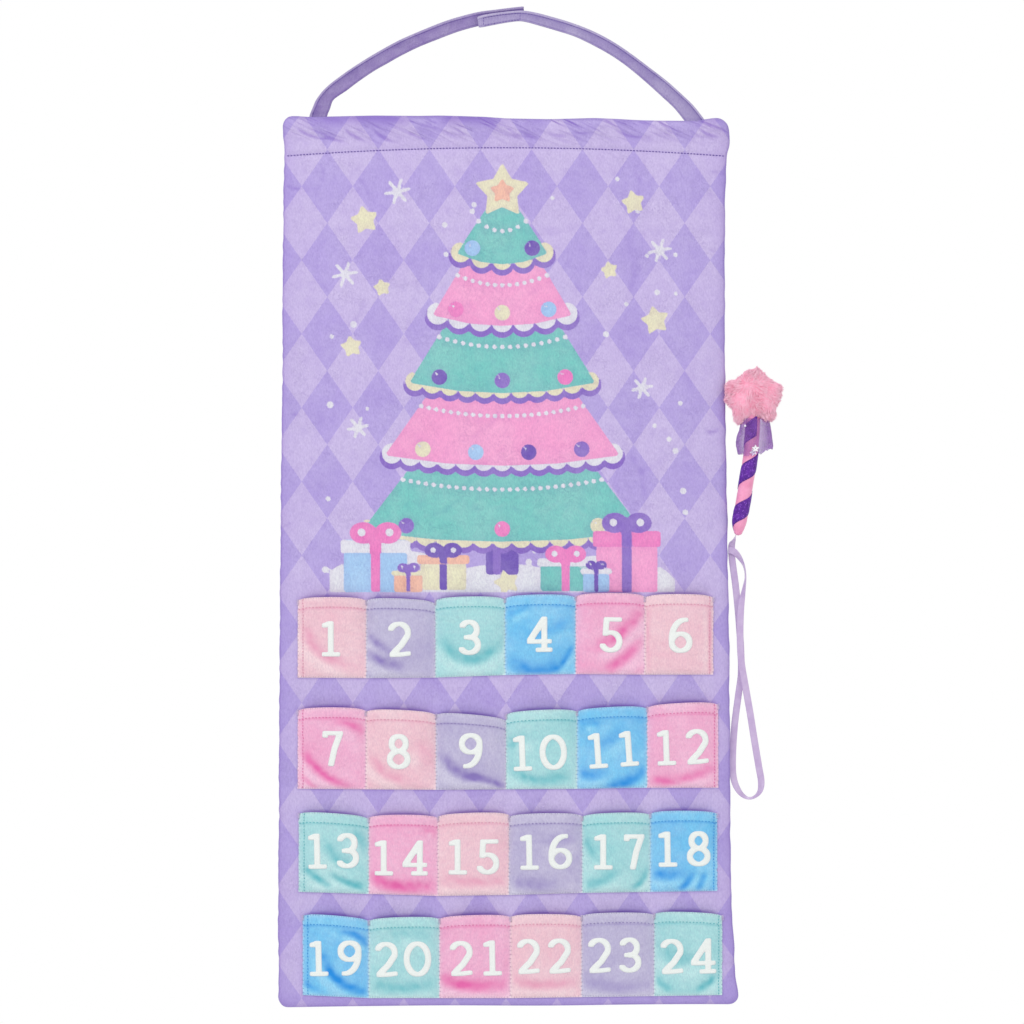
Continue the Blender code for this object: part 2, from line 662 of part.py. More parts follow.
def make_skirt(pivot):
    shares = np.linspace(0, 1, SKIRT_AROUND + 1)
    downs = np.linspace(0, 1, SKIRT_DOWN + 1)
    closed = SKIRT_OPENING * SKIRT_WALL / SKIRT_HEIGHT
    outer, inner = (
        np.array([[skirt_point(a, max(d, closed), offset) for a in shares] for d in downs])
        for offset in (SKIRT_WALL, 0)
    )
    return new_object("wand_skirt", closed_between("wand_skirt", outer, inner), "organza", pivot)


def make_flower(name, below_skirt_top, aside, lift, pivot):
    """A flat sequin with round petals, lying on the front of the stick."""
    centre, right, front = wand_frame(SKIRT_TOP - below_skirt_top)
    up = front.cross(right)
    base = centre + right * aside + front * (STICK_RADIUS + SEAT_GAP + lift)
    rings = []
    for height in (0, FLOWER_THICKNESS):
        ring = []
        for turn in np.arange(FLOWER_POINTS) * 2 * math.pi / FLOWER_POINTS:
            petal = abs(math.cos(FLOWER_PETALS * turn / 2))
            radius = FLOWER_RADIUS * (FLOWER_VALLEY_SHARE + (1 - FLOWER_VALLEY_SHARE) * petal)
            ring.append(base + front * height + (right * math.sin(turn) + up * math.cos(turn)) * radius)
        rings.append(ring)
    return new_object(name, lofted(name, rings), "sequin", pivot)


def make_bead(pivot):
    share_down = BEAD_BELOW_SKIRT_TOP / SKIRT_HEIGHT
    opening = SKIRT_OPENING * share_down
    share_around = (math.radians(BEAD_DEGREES) - math.pi / 2 - opening) / (2 * math.pi - 2 * opening)
    lift = SKIRT_WALL + SEAT_GAP + BEAD_RADIUS
    shape = bmesh.new()
    place = Matrix.Translation(skirt_point(share_around, share_down, lift))
    bmesh.ops.create_icosphere(shape, subdivisions=2, radius=BEAD_RADIUS, matrix=place)
    return new_object("wand_bead", finished_mesh("wand_bead", shape), "sequin", pivot)


# Ribbon
def smooth_route(route, samples):
    """Catmull-Rom curve through the route's points, sampled at even steps of its length."""
    points = np.array(route, float)
    padded = np.concatenate([2 * points[:1] - points[1:2], points, 2 * points[-1:] - points[-2:-1]])
    fine = []
    for a, b, c, d in zip(padded, padded[1:], padded[2:], padded[3:]):
        for t in np.linspace(0, 1, 12, endpoint=False):
            fine.append(
                (2 * b + (c - a) * t + (2 * a - 5 * b + 4 * c - d) * t**2 + (3 * b - a - 3 * c + d) * t**3) / 2
            )
    fine = np.array(fine + [points[-1]])
    steps = np.linalg.norm(np.diff(fine[:, :3], axis=0), axis=1)
    length = np.concatenate([[0], np.cumsum(steps)])
    at = np.linspace(0, length[-1], samples)
    fine = np.concatenate([fine, np.gradient(fine[:, :3], axis=0)], axis=1)
    return np.stack([np.interp(at, length, values) for values in fine.T], axis=1)


def ribbon_line():
    """Centre points of the ribbon in the part's frame, its direction, and its flat side's turn."""
    line = smooth_route(RIBBON_ROUTE, RIBBON_SAMPLES)
    edge = panel_edge(WAND_DROP + RIBBON_DROP)
    points = np.stack([edge + line[:, 0], line[:, 1], WAND_Z - line[:, 2]], axis=1)
    tangents = line[:, 4:] * (1, 1, -1)
    return points, tangents, np.radians(line[:, 3])


def make_ribbon(pivot):
    points, tangents, turns = ribbon_line()
    front, back = [], []
    for point, tangent, turn in zip(points, tangents, turns):
        along = Vector(tangent).normalized()
        across = along.cross(Vector((0, 1, 0))).normalized()
        face = along.cross(across)
        wide = (across * math.cos(turn) + face * math.sin(turn)) * (RIBBON_WIDTH / 2)
        thick = (face * math.cos(turn) - across * math.sin(turn)) * (RIBBON_THICKNESS / 2)
        edges = [Vector(point) - wide, Vector(point) + wide]
        front.append([edge + thick for edge in edges])
        back.append([edge - thick for edge in edges])
    length = np.linalg.norm(np.diff(points, axis=0), axis=1).sum()
    print(f"tether ribbon length {length:.3f} m")
    mesh = closed_between("tether_ribbon", np.array(front), np.array(back), twisted=True)
    return new_object("tether_ribbon", mesh, "ribbon", pivot)


# Scene
def clear_scene():
    for item in list(bpy.data.objects):
        bpy.data.objects.remove(item)


def make_materials():
    for name, (colour, roughness, metallic) in MATERIALS.items():
        material = bpy.data.materials.new(name)
        material.use_nodes = True
        surface = material.node_tree.nodes["Principled BSDF"]
        surface.inputs["Base Color"].default_value = (*colour, 1)
        surface.inputs["Roughness"].default_value = roughness
        surface.inputs["Metallic"].default_value = metallic
        material.diffuse_color = (*colour, 1)


def make_pivot(name, place, parent=None):
    """An empty on a joint's axis, which the moving pieces hang from."""
    pivot = bpy.data.objects.new(name, None)
    pivot.empty_display_size = STRAP_WIDTH
    bpy.context.scene.collection.objects.link(pivot)
    pivot.parent = parent
    pivot.location = Vector(place) - (parent.matrix_world.translation if parent else Vector())
    bpy.context.view_layer.update()
    return pivot


def main():
    clear_scene()
    make_materials()
    panel = make_pivot("panel_swing_axis", (0, 0, HINGE_Z))
    closure = make_pivot("closure_peel_axis", (STRAP_SPAN / 2, 0, HINGE_Z))
    wand = make_pivot("wand_swing_axis", (WAND_X, TIP_Y, WAND_Z), panel)

    make_strap("strap_left", -1, LEFT_TAB_START, LEFT_TAB_LENGTH, None)
    make_tape("loop_tape", SEAT_GAP / 2 + TAPE_THICKNESS / 2, None)
    make_strap("strap_right", 1, RIGHT_TAB_START, RIGHT_TAB_LENGTH, closure)
    make_tape("hook_tape", -SEAT_GAP / 2 - TAPE_THICKNESS / 2, closure)

    make_cover("front_cover", -1, CASING_DEPTH, FRONT_DEPTH, "print", panel)
    make_cover("back_cover", 1, BACK_DEPTH, BACK_DEPTH, "back_cloth", panel)
    make_wadding(panel)
    make_rod(panel)
    make_pockets(panel)
    make_ribbon(panel)

    make_stick(wand)
    make_wrap(wand)
    make_star(wand)
    make_skirt(wand)
    make_flower("wand_flower_lower", LOWER_FLOWER_BELOW_SKIRT_TOP, LOWER_FLOWER_ASIDE, 0, wand)
    lift = FLOWER_THICKNESS + SEAT_GAP
    make_flower("wand_flower_upper", UPPER_FLOWER_BELOW_SKIRT_TOP, UPPER_FLOWER_ASIDE, lift, wand)
    make_bead(wand)


if __name__ == "__main__":
    main()
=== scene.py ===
# %% [markdown]
# # A plush advent calendar, dressed for its photograph
# The calendar is a padded velour banner with a rod in its top casing, four rows of six sewn pockets,
# a strap in two halves and a plush star wand on a ribbon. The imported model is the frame: it says
# where everything is and how it moves. These cells give each piece its cloth, seams, folds and fur.

# %% Load the frame
import json
import math

import bmesh
import bpy
import numpy as np
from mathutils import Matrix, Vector


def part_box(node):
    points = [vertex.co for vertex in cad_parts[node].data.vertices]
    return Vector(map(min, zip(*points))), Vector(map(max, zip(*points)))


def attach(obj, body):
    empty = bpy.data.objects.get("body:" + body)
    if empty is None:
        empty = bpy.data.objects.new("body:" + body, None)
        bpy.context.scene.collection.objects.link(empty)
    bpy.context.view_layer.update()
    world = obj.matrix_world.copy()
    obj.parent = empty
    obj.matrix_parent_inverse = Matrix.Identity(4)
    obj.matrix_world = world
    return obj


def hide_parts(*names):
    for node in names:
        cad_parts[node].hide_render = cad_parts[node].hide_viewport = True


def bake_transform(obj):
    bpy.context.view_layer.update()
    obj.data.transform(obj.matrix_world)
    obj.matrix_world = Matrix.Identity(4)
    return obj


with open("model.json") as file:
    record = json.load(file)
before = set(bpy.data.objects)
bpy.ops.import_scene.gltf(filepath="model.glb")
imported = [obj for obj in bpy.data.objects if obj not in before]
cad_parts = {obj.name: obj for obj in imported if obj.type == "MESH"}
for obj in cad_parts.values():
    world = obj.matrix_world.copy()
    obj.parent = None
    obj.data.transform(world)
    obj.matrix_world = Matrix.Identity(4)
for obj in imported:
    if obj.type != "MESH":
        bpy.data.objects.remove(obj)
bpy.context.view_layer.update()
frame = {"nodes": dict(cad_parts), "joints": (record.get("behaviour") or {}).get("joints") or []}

# %% [markdown]
# ## Places read from the frame
# Every measure below starts from the frame, so a change there carries over. The joints give the
# hinge line and the wand's swing axis, and the covers and pockets give the cloth's front and edges.

# %% Places
MM = 0.001
SEAT_GAP = 0.3 * MM

joint_place = {joint["name"]: np.array(joint["pos_m"]) for joint in frame["joints"]}
WAND_AXIS = joint_place["wand_swing"]

cover_low, cover_high = (np.array(corner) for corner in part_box("front_cover"))
PANEL_TOP = cover_high[2]
PANEL_BOTTOM = cover_low[2]
PANEL_HEIGHT = PANEL_TOP - PANEL_BOTTOM
CASING_DEPTH = -cover_low[1]
BACK_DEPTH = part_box("back_cover")[1][1]
FRONT_DEPTH = -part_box("pocket_01")[1][1] - SEAT_GAP
print(f"panel {PANEL_HEIGHT / MM:.1f} mm high, front face {FRONT_DEPTH / MM:.1f} mm before the seam")

# %% [markdown]
# ## Camera and light
# The photograph looks straight at the banner from some way off, on pure white. One pixel of it is
# 0.9165 mm on the cloth, which fixes the lens once the distance is chosen. The white comes from what
# the camera sees of the world, and not from more light, so the colours stay as they are written.

# %% Camera
PIXEL = 0.9165 * MM
PHOTO_SIDE = 1024
CAMERA_DISTANCE = 3.5
PHOTO_CENTRE_X = 6.9 * MM
PHOTO_CENTRE_Z = -443.4 * MM
SENSOR_WIDTH = 36.0


def photo_x(column):
    """Place to the right, in the frame, of a column of the photograph."""
    return (column - PHOTO_SIDE / 2) * PIXEL + PHOTO_CENTRE_X


def photo_z(row):
    """Height, in the frame, of a row of the photograph."""
    return (PHOTO_SIDE / 2 - row) * PIXEL + PHOTO_CENTRE_Z


lens = bpy.data.cameras.new("photo_camera")
lens.sensor_width = SENSOR_WIDTH
lens.lens = SENSOR_WIDTH * CAMERA_DISTANCE / (PHOTO_SIDE * PIXEL)
camera = bpy.data.objects.new("photo_camera", lens)
bpy.context.scene.collection.objects.link(camera)
camera.location = (PHOTO_CENTRE_X, -CAMERA_DISTANCE, PHOTO_CENTRE_Z)
camera.rotation_euler = (math.pi / 2, 0, 0)
bpy.context.scene.camera = camera
bpy.context.scene.view_settings.view_transform = "Standard"
print(f"lens {lens.lens:.1f} mm at {CAMERA_DISTANCE} m")

# %% Lamps, world and floor
AMBIENT = 0.74


def add_lamp(name, place, target, side, power):
    lamp = bpy.data.lights.new(name, "AREA")
    lamp.shape = "SQUARE"
    lamp.size = side
    lamp.energy = power
    holder = bpy.data.objects.new(name, lamp)
    bpy.context.scene.collection.objects.link(holder)
    holder.location = place
    holder.rotation_euler = (Vector(target) - Vector(place)).to_track_quat("-Z", "Y").to_euler()


middle = (0, 0, PHOTO_CENTRE_Z)
add_lamp("key_lamp", (-1.5, -1.9, 1.3), middle, 1.3, 27)
add_lamp("fill_lamp", (1.9, -2.2, -0.6), middle, 1.8, 9)
add_lamp("back_lamp", (0.8, 2.4, 0.8), middle, 1.6, 14)

world = bpy.data.worlds.new("studio")
bpy.context.scene.world = world
world.use_nodes = True
sky = world.node_tree
light_path = sky.nodes.new("ShaderNodeLightPath")
seen = sky.nodes.new("ShaderNodeMath")
seen.operation = "MAXIMUM"
sky.links.new(light_path.outputs["Is Camera Ray"], seen.inputs[0])
sky.links.new(light_path.outputs["Is Transmission Ray"], seen.inputs[1])
glossy = sky.nodes.new("ShaderNodeMath")
glossy.operation = "MAXIMUM"
sky.links.new(seen.outputs[0], glossy.inputs[0])
sky.links.new(light_path.outputs["Is Glossy Ray"], glossy.inputs[1])
plain = sky.nodes["Background"]
plain.inputs["Color"].default_value = (1, 1, 1, 1)
plain.inputs["Strength"].default_value = AMBIENT
white = sky.nodes.new("ShaderNodeBackground")
white.inputs["Color"].default_value = (1, 1, 1, 1)
chosen = sky.nodes.new("ShaderNodeMixShader")
sky.links.new(glossy.outputs[0], chosen.inputs["Fac"])
sky.links.new(plain.outputs[0], chosen.inputs[1])
sky.links.new(white.outputs[0], chosen.inputs[2])
sky.links.new(chosen.outputs[0], sky.nodes["World Output"].inputs["Surface"])

# %% [markdown]
# ## Helpers for surfaces and materials
# Each new piece is a grid of points worked out at once as an array, and laid into a mesh. A closed
# piece is two grids joined along their borders. Materials are small trees of nodes, so a few short
# functions that add and feed a node keep them readable.

# %% Mesh helpers


def grid_faces(rows, columns, first=0, flip=False):
    """Corner numbers of a grid's quads, row by row."""
    corner = first + np.arange(rows * columns).reshape(rows, columns)
    quads = np.stack([corner[:-1, :-1], corner[1:, :-1], corner[1:, 1:], corner[:-1, 1:]], axis=-1)
    quads = quads.reshape(-1, 4)
    return quads[:, ::-1] if flip else quads


def border_faces(rows, columns, second):
    """Quads that join the borders of two grids of the same size, numbered from 0 and from second."""
    corner = np.arange(rows * columns).reshape(rows, columns)
    ring = np.concatenate([corner[0, :-1], corner[:-1, -1], corner[-1, :0:-1], corner[:0:-1, 0]])
    after = np.roll(ring, -1)
    return np.stack([ring, after, after + second, ring + second], axis=1)


def new_piece(name, points, faces, material, smooth=True):
    """An object from an array of points and lists of faces, in the frame's own place."""
    mesh = bpy.data.meshes.new(name)
    mesh.from_pydata(np.asarray(points, float).reshape(-1, 3), [], [list(map(int, face)) for face in faces])
    mesh.validate()
    mesh.update()
    if smooth:
        mesh.shade_smooth()
    piece = bpy.data.objects.new(name, mesh)
    bpy.context.scene.collection.objects.link(piece)
    mesh.materials.append(material)
    return piece


def set_field(piece, name, values):
    """Stores one number for each point of a piece, for its material to read."""
    field = piece.data.attributes.new(name, "FLOAT", "POINT")
    field.data.foreach_set("value", np.asarray(values, np.float32).ravel())


def closed_sheet(name, outer, inner, material):
    """A closed piece between two grids of points: two faces and a strip along the border."""
    rows, columns = outer.shape[:2]
    count = rows * columns
    faces = np.concatenate(
        [
            grid_faces(rows, columns),
            grid_faces(rows, columns, count, True),
            border_faces(rows, columns, count),
        ]
    )
    points = np.concatenate([outer.reshape(-1, 3), inner.reshape(-1, 3)])
    return point_outwards(new_piece(name, points, faces, material))


def tube(name, rings, material):
    """A skin through rings of points, each ring closed, with a face over each end."""
    rows, sides = rings.shape[:2]
    corner = np.arange(rows * sides).reshape(rows, sides)
    near, far = corner[:-1], corner[1:]
    quads = np.stack([near, np.roll(near, -1, 1), np.roll(far, -1, 1), far], axis=-1).reshape(-1, 4)
    faces = [list(quad) for quad in quads]
    faces += [list(corner[0][::-1]), list(corner[-1])]
    piece = new_piece(name, rings, faces, material)
    return point_outwards(piece)


def point_outwards(piece):
    """Turns every face of a closed piece to the outside."""
    shape = bmesh.new()
    shape.from_mesh(piece.data)
    bmesh.ops.recalc_face_normals(shape, faces=shape.faces)
    shape.to_mesh(piece.data)
    shape.free()
    return piece


def box_middle(node):
    """The middle of a solid's box."""
    low, high = (np.array(corner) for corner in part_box(node))
    return (low + high) / 2


def unit(vectors):
    """Directions scaled to length one."""
    return vectors / np.maximum(np.linalg.norm(vectors, axis=-1, keepdims=True), 1e-12)


# %% Cloth shape helpers
def drift(x, z, longest, shortest, count, seed):
    """A soft random swell from -1 to 1: the mean of sine waves that run in many directions."""
    draw = np.random.default_rng(seed)
    length = np.exp(draw.uniform(math.log(shortest), math.log(longest), count))
    heading = draw.uniform(0, math.pi, count)
    phase = draw.uniform(0, 2 * math.pi, count)
    total = np.zeros(np.broadcast(x, z).shape)
    for wave, turn, start in zip(length, heading, phase):
        total += np.sin(2 * math.pi * (x * math.cos(turn) + z * math.sin(turn)) / wave + start)
    return total / math.sqrt(count * 2)


def crease(x, z, place, angle, length, width, bow=0.0):
    """A ridge 1 high: a bell across its line, fading out along it, with its line bowed sideways."""
    right, up = x - place[0], z - place[1]
    along = right * math.cos(angle) + up * math.sin(angle)
    across = up * math.cos(angle) - right * math.sin(angle) - bow * (along / length) ** 2 * length
    return np.exp(-((across / width) ** 2) - (along / length) ** 4)


def bell(value, width):
    """A smooth bump: 1 where the value is 0, fading over a width on both sides of it."""
    return np.exp(-((value / width) ** 2))


def lengths_along(points):
    """How far along a line of points each of them lies."""
    return np.concatenate([[0], np.cumsum(np.linalg.norm(np.diff(points, axis=0), axis=1))])


def softened(height, passes):
    """A grid of heights with each point moved to the mean of its neighbours, several times."""
    for _ in range(passes):
        padded = np.pad(height, 1, mode="edge")
        beside = padded[:-2, 1:-1] + padded[2:, 1:-1] + padded[1:-1, :-2] + padded[1:-1, 2:]
        height = (height * 2 + beside) / 6
    return height


# %% Material helpers
def cloth_colour(red, green, blue):
    """A colour given as a screen shows it, 0 to 255, in the linear values that nodes take."""
    share = np.array([red, green, blue]) / 255
    linear = np.where(share <= 0.04045, share / 12.92, ((share + 0.055) / 1.055) ** 2.4)
    return (*(float(c) for c in linear), 1.0)


def feed(tree, socket, value):
    """Joins an output to a socket, or sets the socket to a value."""
    if isinstance(value, bpy.types.NodeSocket):
        tree.links.new(value, socket)
    else:
        socket.default_value = value


def add_node(tree, kind, values=None, **settings):
    """A new node with its settings made and its inputs fed, by name or number."""
    node = tree.nodes.new(kind)
    for key, value in settings.items():
        setattr(node, key, value)
    for key, value in (values or {}).items():
        feed(tree, node.inputs[key], value)
    return node


def calculate(tree, operation, *values):
    """The output of a Math node."""
    return add_node(tree, "ShaderNodeMath", dict(enumerate(values)), operation=operation).outputs[0]


def times(tree, one, two):
    """One value times another."""
    return calculate(tree, "MULTIPLY", one, two)


def times_plus(tree, one, two, more):
    """One value times another, plus a third."""
    return calculate(tree, "MULTIPLY_ADD", one, two, more)


def larger(tree, one, two):
    """The larger of two values."""
    return calculate(tree, "MAXIMUM", one, two)


def object_place(tree):
    """The place of each point of a piece, which every grain is laid by."""
    return add_node(tree, "ShaderNodeTexCoord").outputs["Object"]


def mix_colour(tree, share, one, two, mode="MIX"):
    """The output of a colour Mix node."""
    node = add_node(tree, "ShaderNodeMix", {0: share, 6: one, 7: two}, data_type="RGBA", blend_type=mode)
    return node.outputs[2]


def between_tones(tree, share, one, two):
    """A colour between two that are given as a screen shows them."""
    return mix_colour(tree, share, cloth_colour(*one), cloth_colour(*two))


def noise(tree, place, scale, detail=2.0, roughness=0.5, distortion=0.0):
    """The value of a Noise node, mostly from 0.3 to 0.7."""
    values = {"Vector": place, "Scale": scale, "Detail": detail, "Roughness": roughness,
              "Distortion": distortion}
    return add_node(tree, "ShaderNodeTexNoise", values).outputs[0]


def ramp(tree, value, low, high):
    """A value drawn out so that low becomes 0 and high becomes 1, and held there."""
    values = {0: value, 1: low, 2: high, 3: 0.0, 4: 1.0}
    return add_node(tree, "ShaderNodeMapRange", values, clamp=True).outputs[0]


def field(tree, name):
    """The number that a piece stores under a name."""
    return add_node(tree, "ShaderNodeAttribute", attribute_name=name).outputs["Fac"]


def new_group(name, inputs, outputs):
    """An empty shader node group: its tree, its inputs by name and its output node."""
    group = bpy.data.node_groups.new(name, "ShaderNodeTree")
    for label, kind, value in inputs:
        socket = group.interface.new_socket(label, in_out="INPUT", socket_type=kind)
        socket.default_value = value
    for label, kind in outputs:
        group.interface.new_socket(label, in_out="OUTPUT", socket_type=kind)
    given = group.nodes.new("NodeGroupInput")
    result = group.nodes.new("NodeGroupOutput")
    return group, given.outputs, result.inputs


def use_group(tree, group, values):
    """A group placed in a material with its own values."""
    node = tree.nodes.new("ShaderNodeGroup")
    node.node_tree = group
    for key, value in values.items():
        feed(tree, node.inputs[key], value)
    return node.outputs


def new_material(name, **sockets):
    """A material, its tree and its Principled BSDF, with constant sockets set by name."""
    made = bpy.data.materials.new(name)
    made.use_nodes = True
    shader = made.node_tree.nodes["Principled BSDF"]
    for key, value in sockets.items():
        shader.inputs[key.replace("_", " ")].default_value = value
    return made, made.node_tree, shader


def paint(tree, shader, colour, roughness):
    """Feeds a material's colour and its roughness."""
    feed(tree, shader.inputs["Base Color"], colour)
    feed(tree, shader.inputs["Roughness"], roughness)


def add_bump(tree, shader, height, distance, strength=1.0):
    """Lets a height disturb the surface's normal."""
    bump = add_node(tree, "ShaderNodeBump", {"Height": height, "Distance": distance, "Strength": strength})
    tree.links.new(bump.outputs["Normal"], shader.inputs["Normal"])


FLOAT = "NodeSocketFloat"
COLOUR = "NodeSocketColor"
print("helpers ready")

# %% [markdown]
# ## Cloth finishes
# Two cloths make up most of the calendar. Velour is a knit with a short cut pile, mottled where the pile
# leans another way. Its material paints shade as a darker colour in its folds, and paints highlight
# pale where the light grazes it.
# Satin is smooth with fine cross threads and a bound edge. Each is one node group with a colour of
# its own in every material, so all the pieces made of a cloth share its grain.

# %% Velour
group, given, result = new_group(
    "velour_pile",
    [("Colour", COLOUR, (1, 1, 1, 1)), ("Shade Colour", COLOUR, (1, 1, 1, 1)), ("Painted Shade And Tone", FLOAT, 0.0),
     ("Painted Highlight", FLOAT, 0.0), ("Mottle", FLOAT, 1.0)],
    [("Colour", COLOUR), ("Roughness", FLOAT), ("Height", FLOAT)],
)
place = object_place(group)
leaning = add_node(group, "ShaderNodeMapping", {"Vector": place, "Scale": (1.0, 1.0, 0.45)}).outputs[0]
tufts = noise(group, leaning, 900, 2.0, 0.6)
nap = ramp(group, noise(group, place, 85, 4.0, 0.65, 0.8), 0.34, 0.68)
patches = ramp(group, noise(group, place, 22, 2.0, 0.5), 0.35, 0.65)
# Crushed pile: thin wandering lines where a warped noise crosses its middle, in some patches only.
wandering = noise(group, place, 120, 3.0, 0.55, 1.6)
line = calculate(group, "ABSOLUTE", times_plus(group, wandering, 2.0, -1.0))
crush = times(group, ramp(group, line, 0.08, 0.0), ramp(group, noise(group, place, 45, 2.0), 0.46, 0.62))
uneven = times_plus(group, nap, 0.5, times(group, patches, 0.5))
uneven = times(group, uneven, given["Mottle"])
speckle = ramp(group, tufts, 0.3, 0.7)
worn = mix_colour(group, times(group, uneven, 0.14), given["Colour"], (1, 1, 1, 1))
dark = mix_colour(group, 1.0, worn, (0.83, 0.81, 0.87, 1), "MULTIPLY")
grained = mix_colour(group, speckle, dark, worn)
# Painted shade: the fold number and the crushed lines mix the colour towards the shade colour.
deeper = larger(group, given["Painted Shade And Tone"], times(group, crush, 0.22))
shaded = mix_colour(group, deeper, grained, given["Shade Colour"])
# Painted highlight: the pale number mixes the colour towards white, flecked by the tufts.
painted_highlight = times(group, given["Painted Highlight"], times_plus(group, speckle, 0.4, 0.6))
feed(group, result["Colour"], mix_colour(group, painted_highlight, shaded,
                                         mix_colour(group, 0.55, grained, (1, 1, 1, 1))))
feed(group, result["Roughness"], times_plus(group, speckle, 0.12, 0.80))
height = times_plus(group, nap, 0.4, tufts)
feed(group, result["Height"], times_plus(group, crush, -0.5, height))
velour_pile = group


def velour(name, colour, deep, mottle=1.0, sheen=0.28):
    """A velour in one colour, with painted shade where a piece's fold number is high and painted highlight
    where its pale is.
    """
    made, tree, shader = new_material(name, Sheen_Weight=sheen, Sheen_Roughness=0.45, Specular_IOR_Level=0.2)
    values = {"Colour": cloth_colour(*colour), "Shade Colour": cloth_colour(*deep), "Mottle": mottle}
    values |= {"Painted Shade And Tone": field(tree, "fold"), "Painted Highlight": field(tree, "pale")}
    pile = use_group(tree, velour_pile, values)
    paint(tree, shader, pile["Colour"], pile["Roughness"])
    add_bump(tree, shader, pile["Height"], 0.5 * MM, 0.55)
    return made

# %% Satin
group, given, result = new_group(
    "satin_weave",
    [("Colour", COLOUR, (1, 1, 1, 1)), ("Shade", COLOUR, (1, 1, 1, 1)), ("Along", FLOAT, 0.0),
     ("Across", FLOAT, 0.0)],
    [("Colour", COLOUR), ("Roughness", FLOAT), ("Height", FLOAT)],
)
THREAD_PITCH = 0.42 * MM
place = object_place(group)
turns = times(group, given["Along"], 2 * math.pi / THREAD_PITCH)
thread = times_plus(group, calculate(group, "SINE", turns), 0.5, 0.5)
cloudy = ramp(group, noise(group, place, 120, 3.0, 0.55), 0.35, 0.65)
bound = ramp(group, calculate(group, "ABSOLUTE", given["Across"]), 0.78, 0.92)
shaded = times_plus(group, cloudy, 0.45, times(group, thread, 0.18))
shaded = larger(group, shaded, times(group, bound, 0.75))
feed(group, result["Colour"], mix_colour(group, shaded, given["Colour"], given["Shade"]))
feed(group, result["Roughness"], times_plus(group, cloudy, 0.16, 0.30))
feed(group, result["Height"], times_plus(group, bound, 1.5, thread))
satin_weave = group


def satin(name, colour, shade, sheen=0.15):
    """A satin in one colour and its shade, threaded across the piece's along number."""
    made, tree, shader = new_material(name, Sheen_Weight=sheen, Specular_IOR_Level=0.5)
    values = {"Colour": cloth_colour(*colour), "Shade": cloth_colour(*shade)}
    values.update({"Along": field(tree, "along"), "Across": field(tree, "across")})
    weave = use_group(tree, satin_weave, values)
    paint(tree, shader, weave["Colour"], weave["Roughness"])
    add_bump(tree, shader, weave["Height"], 0.04 * MM, 0.5)
    return made


ribbon_satin = satin("lilac_satin", (206, 186, 221), (180, 150, 201))
print("velour and satin ready")

# %% [markdown]
# ## The tether ribbon
# A narrow satin ribbon leaves the right seam, hangs down beside the panel, turns in a loose loop and
# climbs back to the wand's tip. It is a fixed length of limp ribbon, so its route is one smooth curve
# through given points, each with the turn of its flat side. The points repeat the solid's own.

# %% Tether ribbon
RIBBON_WIDTH = 6.2 * MM
RIBBON_THICKNESS = 0.5 * MM
RIBBON_SEAM_X = 204.439 * MM
RIBBON_SAMPLES = 420
# Right of the seam, depth, below the wand's swing axis, in mm, and the turn in degrees.
RIBBON_ROUTE = (
    (0.6, 0, 16.5, 0), (2.5, -0.2, 16.6, 0), (6.0, -1.8, 18.0, 15), (10.6, -3.0, 23.0, 45),
    (14.8, -3.6, 31.0, 75), (16.2, -3.6, 41.0, 80), (14.6, -3.6, 53.0, 60), (12.4, -3.6, 66.0, 25),
    (11.4, -3.6, 82.0, 10), (11.4, -3.6, 100.0, 0), (12.6, -3.4, 120.0, 0), (16.0, -3.0, 140.0, 0),
    (20.4, -2.6, 165.0, 0), (24.4, -2.0, 190.0, 0), (28.6, -1.2, 215.0, 5), (30.8, -0.6, 228.0, 15),
    (29.8, 0, 237.0, 45), (25.0, 0.4, 242.5, 70), (19.0, 0.8, 243.8, 70), (12.6, 1.2, 240.0, 45),
    (7.4, 1.6, 231.5, 20), (5.0, 2.0, 220.0, 10), (5.0, 2.2, 200.0, 0), (6.8, 2.2, 175.0, 0),
    (10.0, 2.0, 150.0, 0), (12.6, 2.0, 130.0, 0), (12.4, 2.0, 110.0, 0), (11.2, 2.0, 90.0, 0),
    (9.6, 2.0, 70.0, 0), (7.6, 2.0, 50.0, 0), (5.6, 2.0, 35.0, 0), (4.2, 2.0, 24.0, 0),
    (3.8, 1.7, 15.5, 0), (4.2, 1.0, 10.5, 20), (5.7, -2.1, 6.5, 65), (7.3, -4.0, 2.9, 90),
)


def smooth_route(route, samples):
    """Catmull-Rom curve through the points, at even steps of length: places, then their slopes."""
    points = np.array(route, float)
    padded = np.concatenate([2 * points[:1] - points[1:2], points, 2 * points[-1:] - points[-2:-1]])
    a, b, c, d = (padded[k : k + len(points) - 1, None] for k in range(4))
    t = np.linspace(0, 1, 12, endpoint=False)[None, :, None]
    cubic = (2 * b + (c - a) * t + (2 * a - 5 * b + 4 * c - d) * t**2 + (3 * b - a - 3 * c + d) * t**3) / 2
    fine = np.concatenate([cubic.reshape(-1, points.shape[1]), points[-1:]])
    reach = lengths_along(fine[:, :3])
    fine = np.concatenate([fine, np.gradient(fine[:, :3], axis=0)], axis=1)
    at = np.linspace(0, reach[-1], samples)
    return np.stack([np.interp(at, reach, values) for values in fine.T], axis=1), at


def ribbon_skin(centres, wide, thick, across_steps, half_width, half_depth):
    """A flat band's rings: a rounded section of points carried along the centres."""
    turn = np.linspace(0, 2 * math.pi, across_steps, endpoint=False)
    side = np.sign(np.cos(turn)) * np.abs(np.cos(turn)) ** 0.55
    face = np.sign(np.sin(turn)) * np.abs(np.sin(turn)) ** 0.75
    rings = centres[:, None] + wide[:, None] * (side * half_width)[None, :, None]
    return rings + thick[:, None] * (face * half_depth)[None, :, None], side


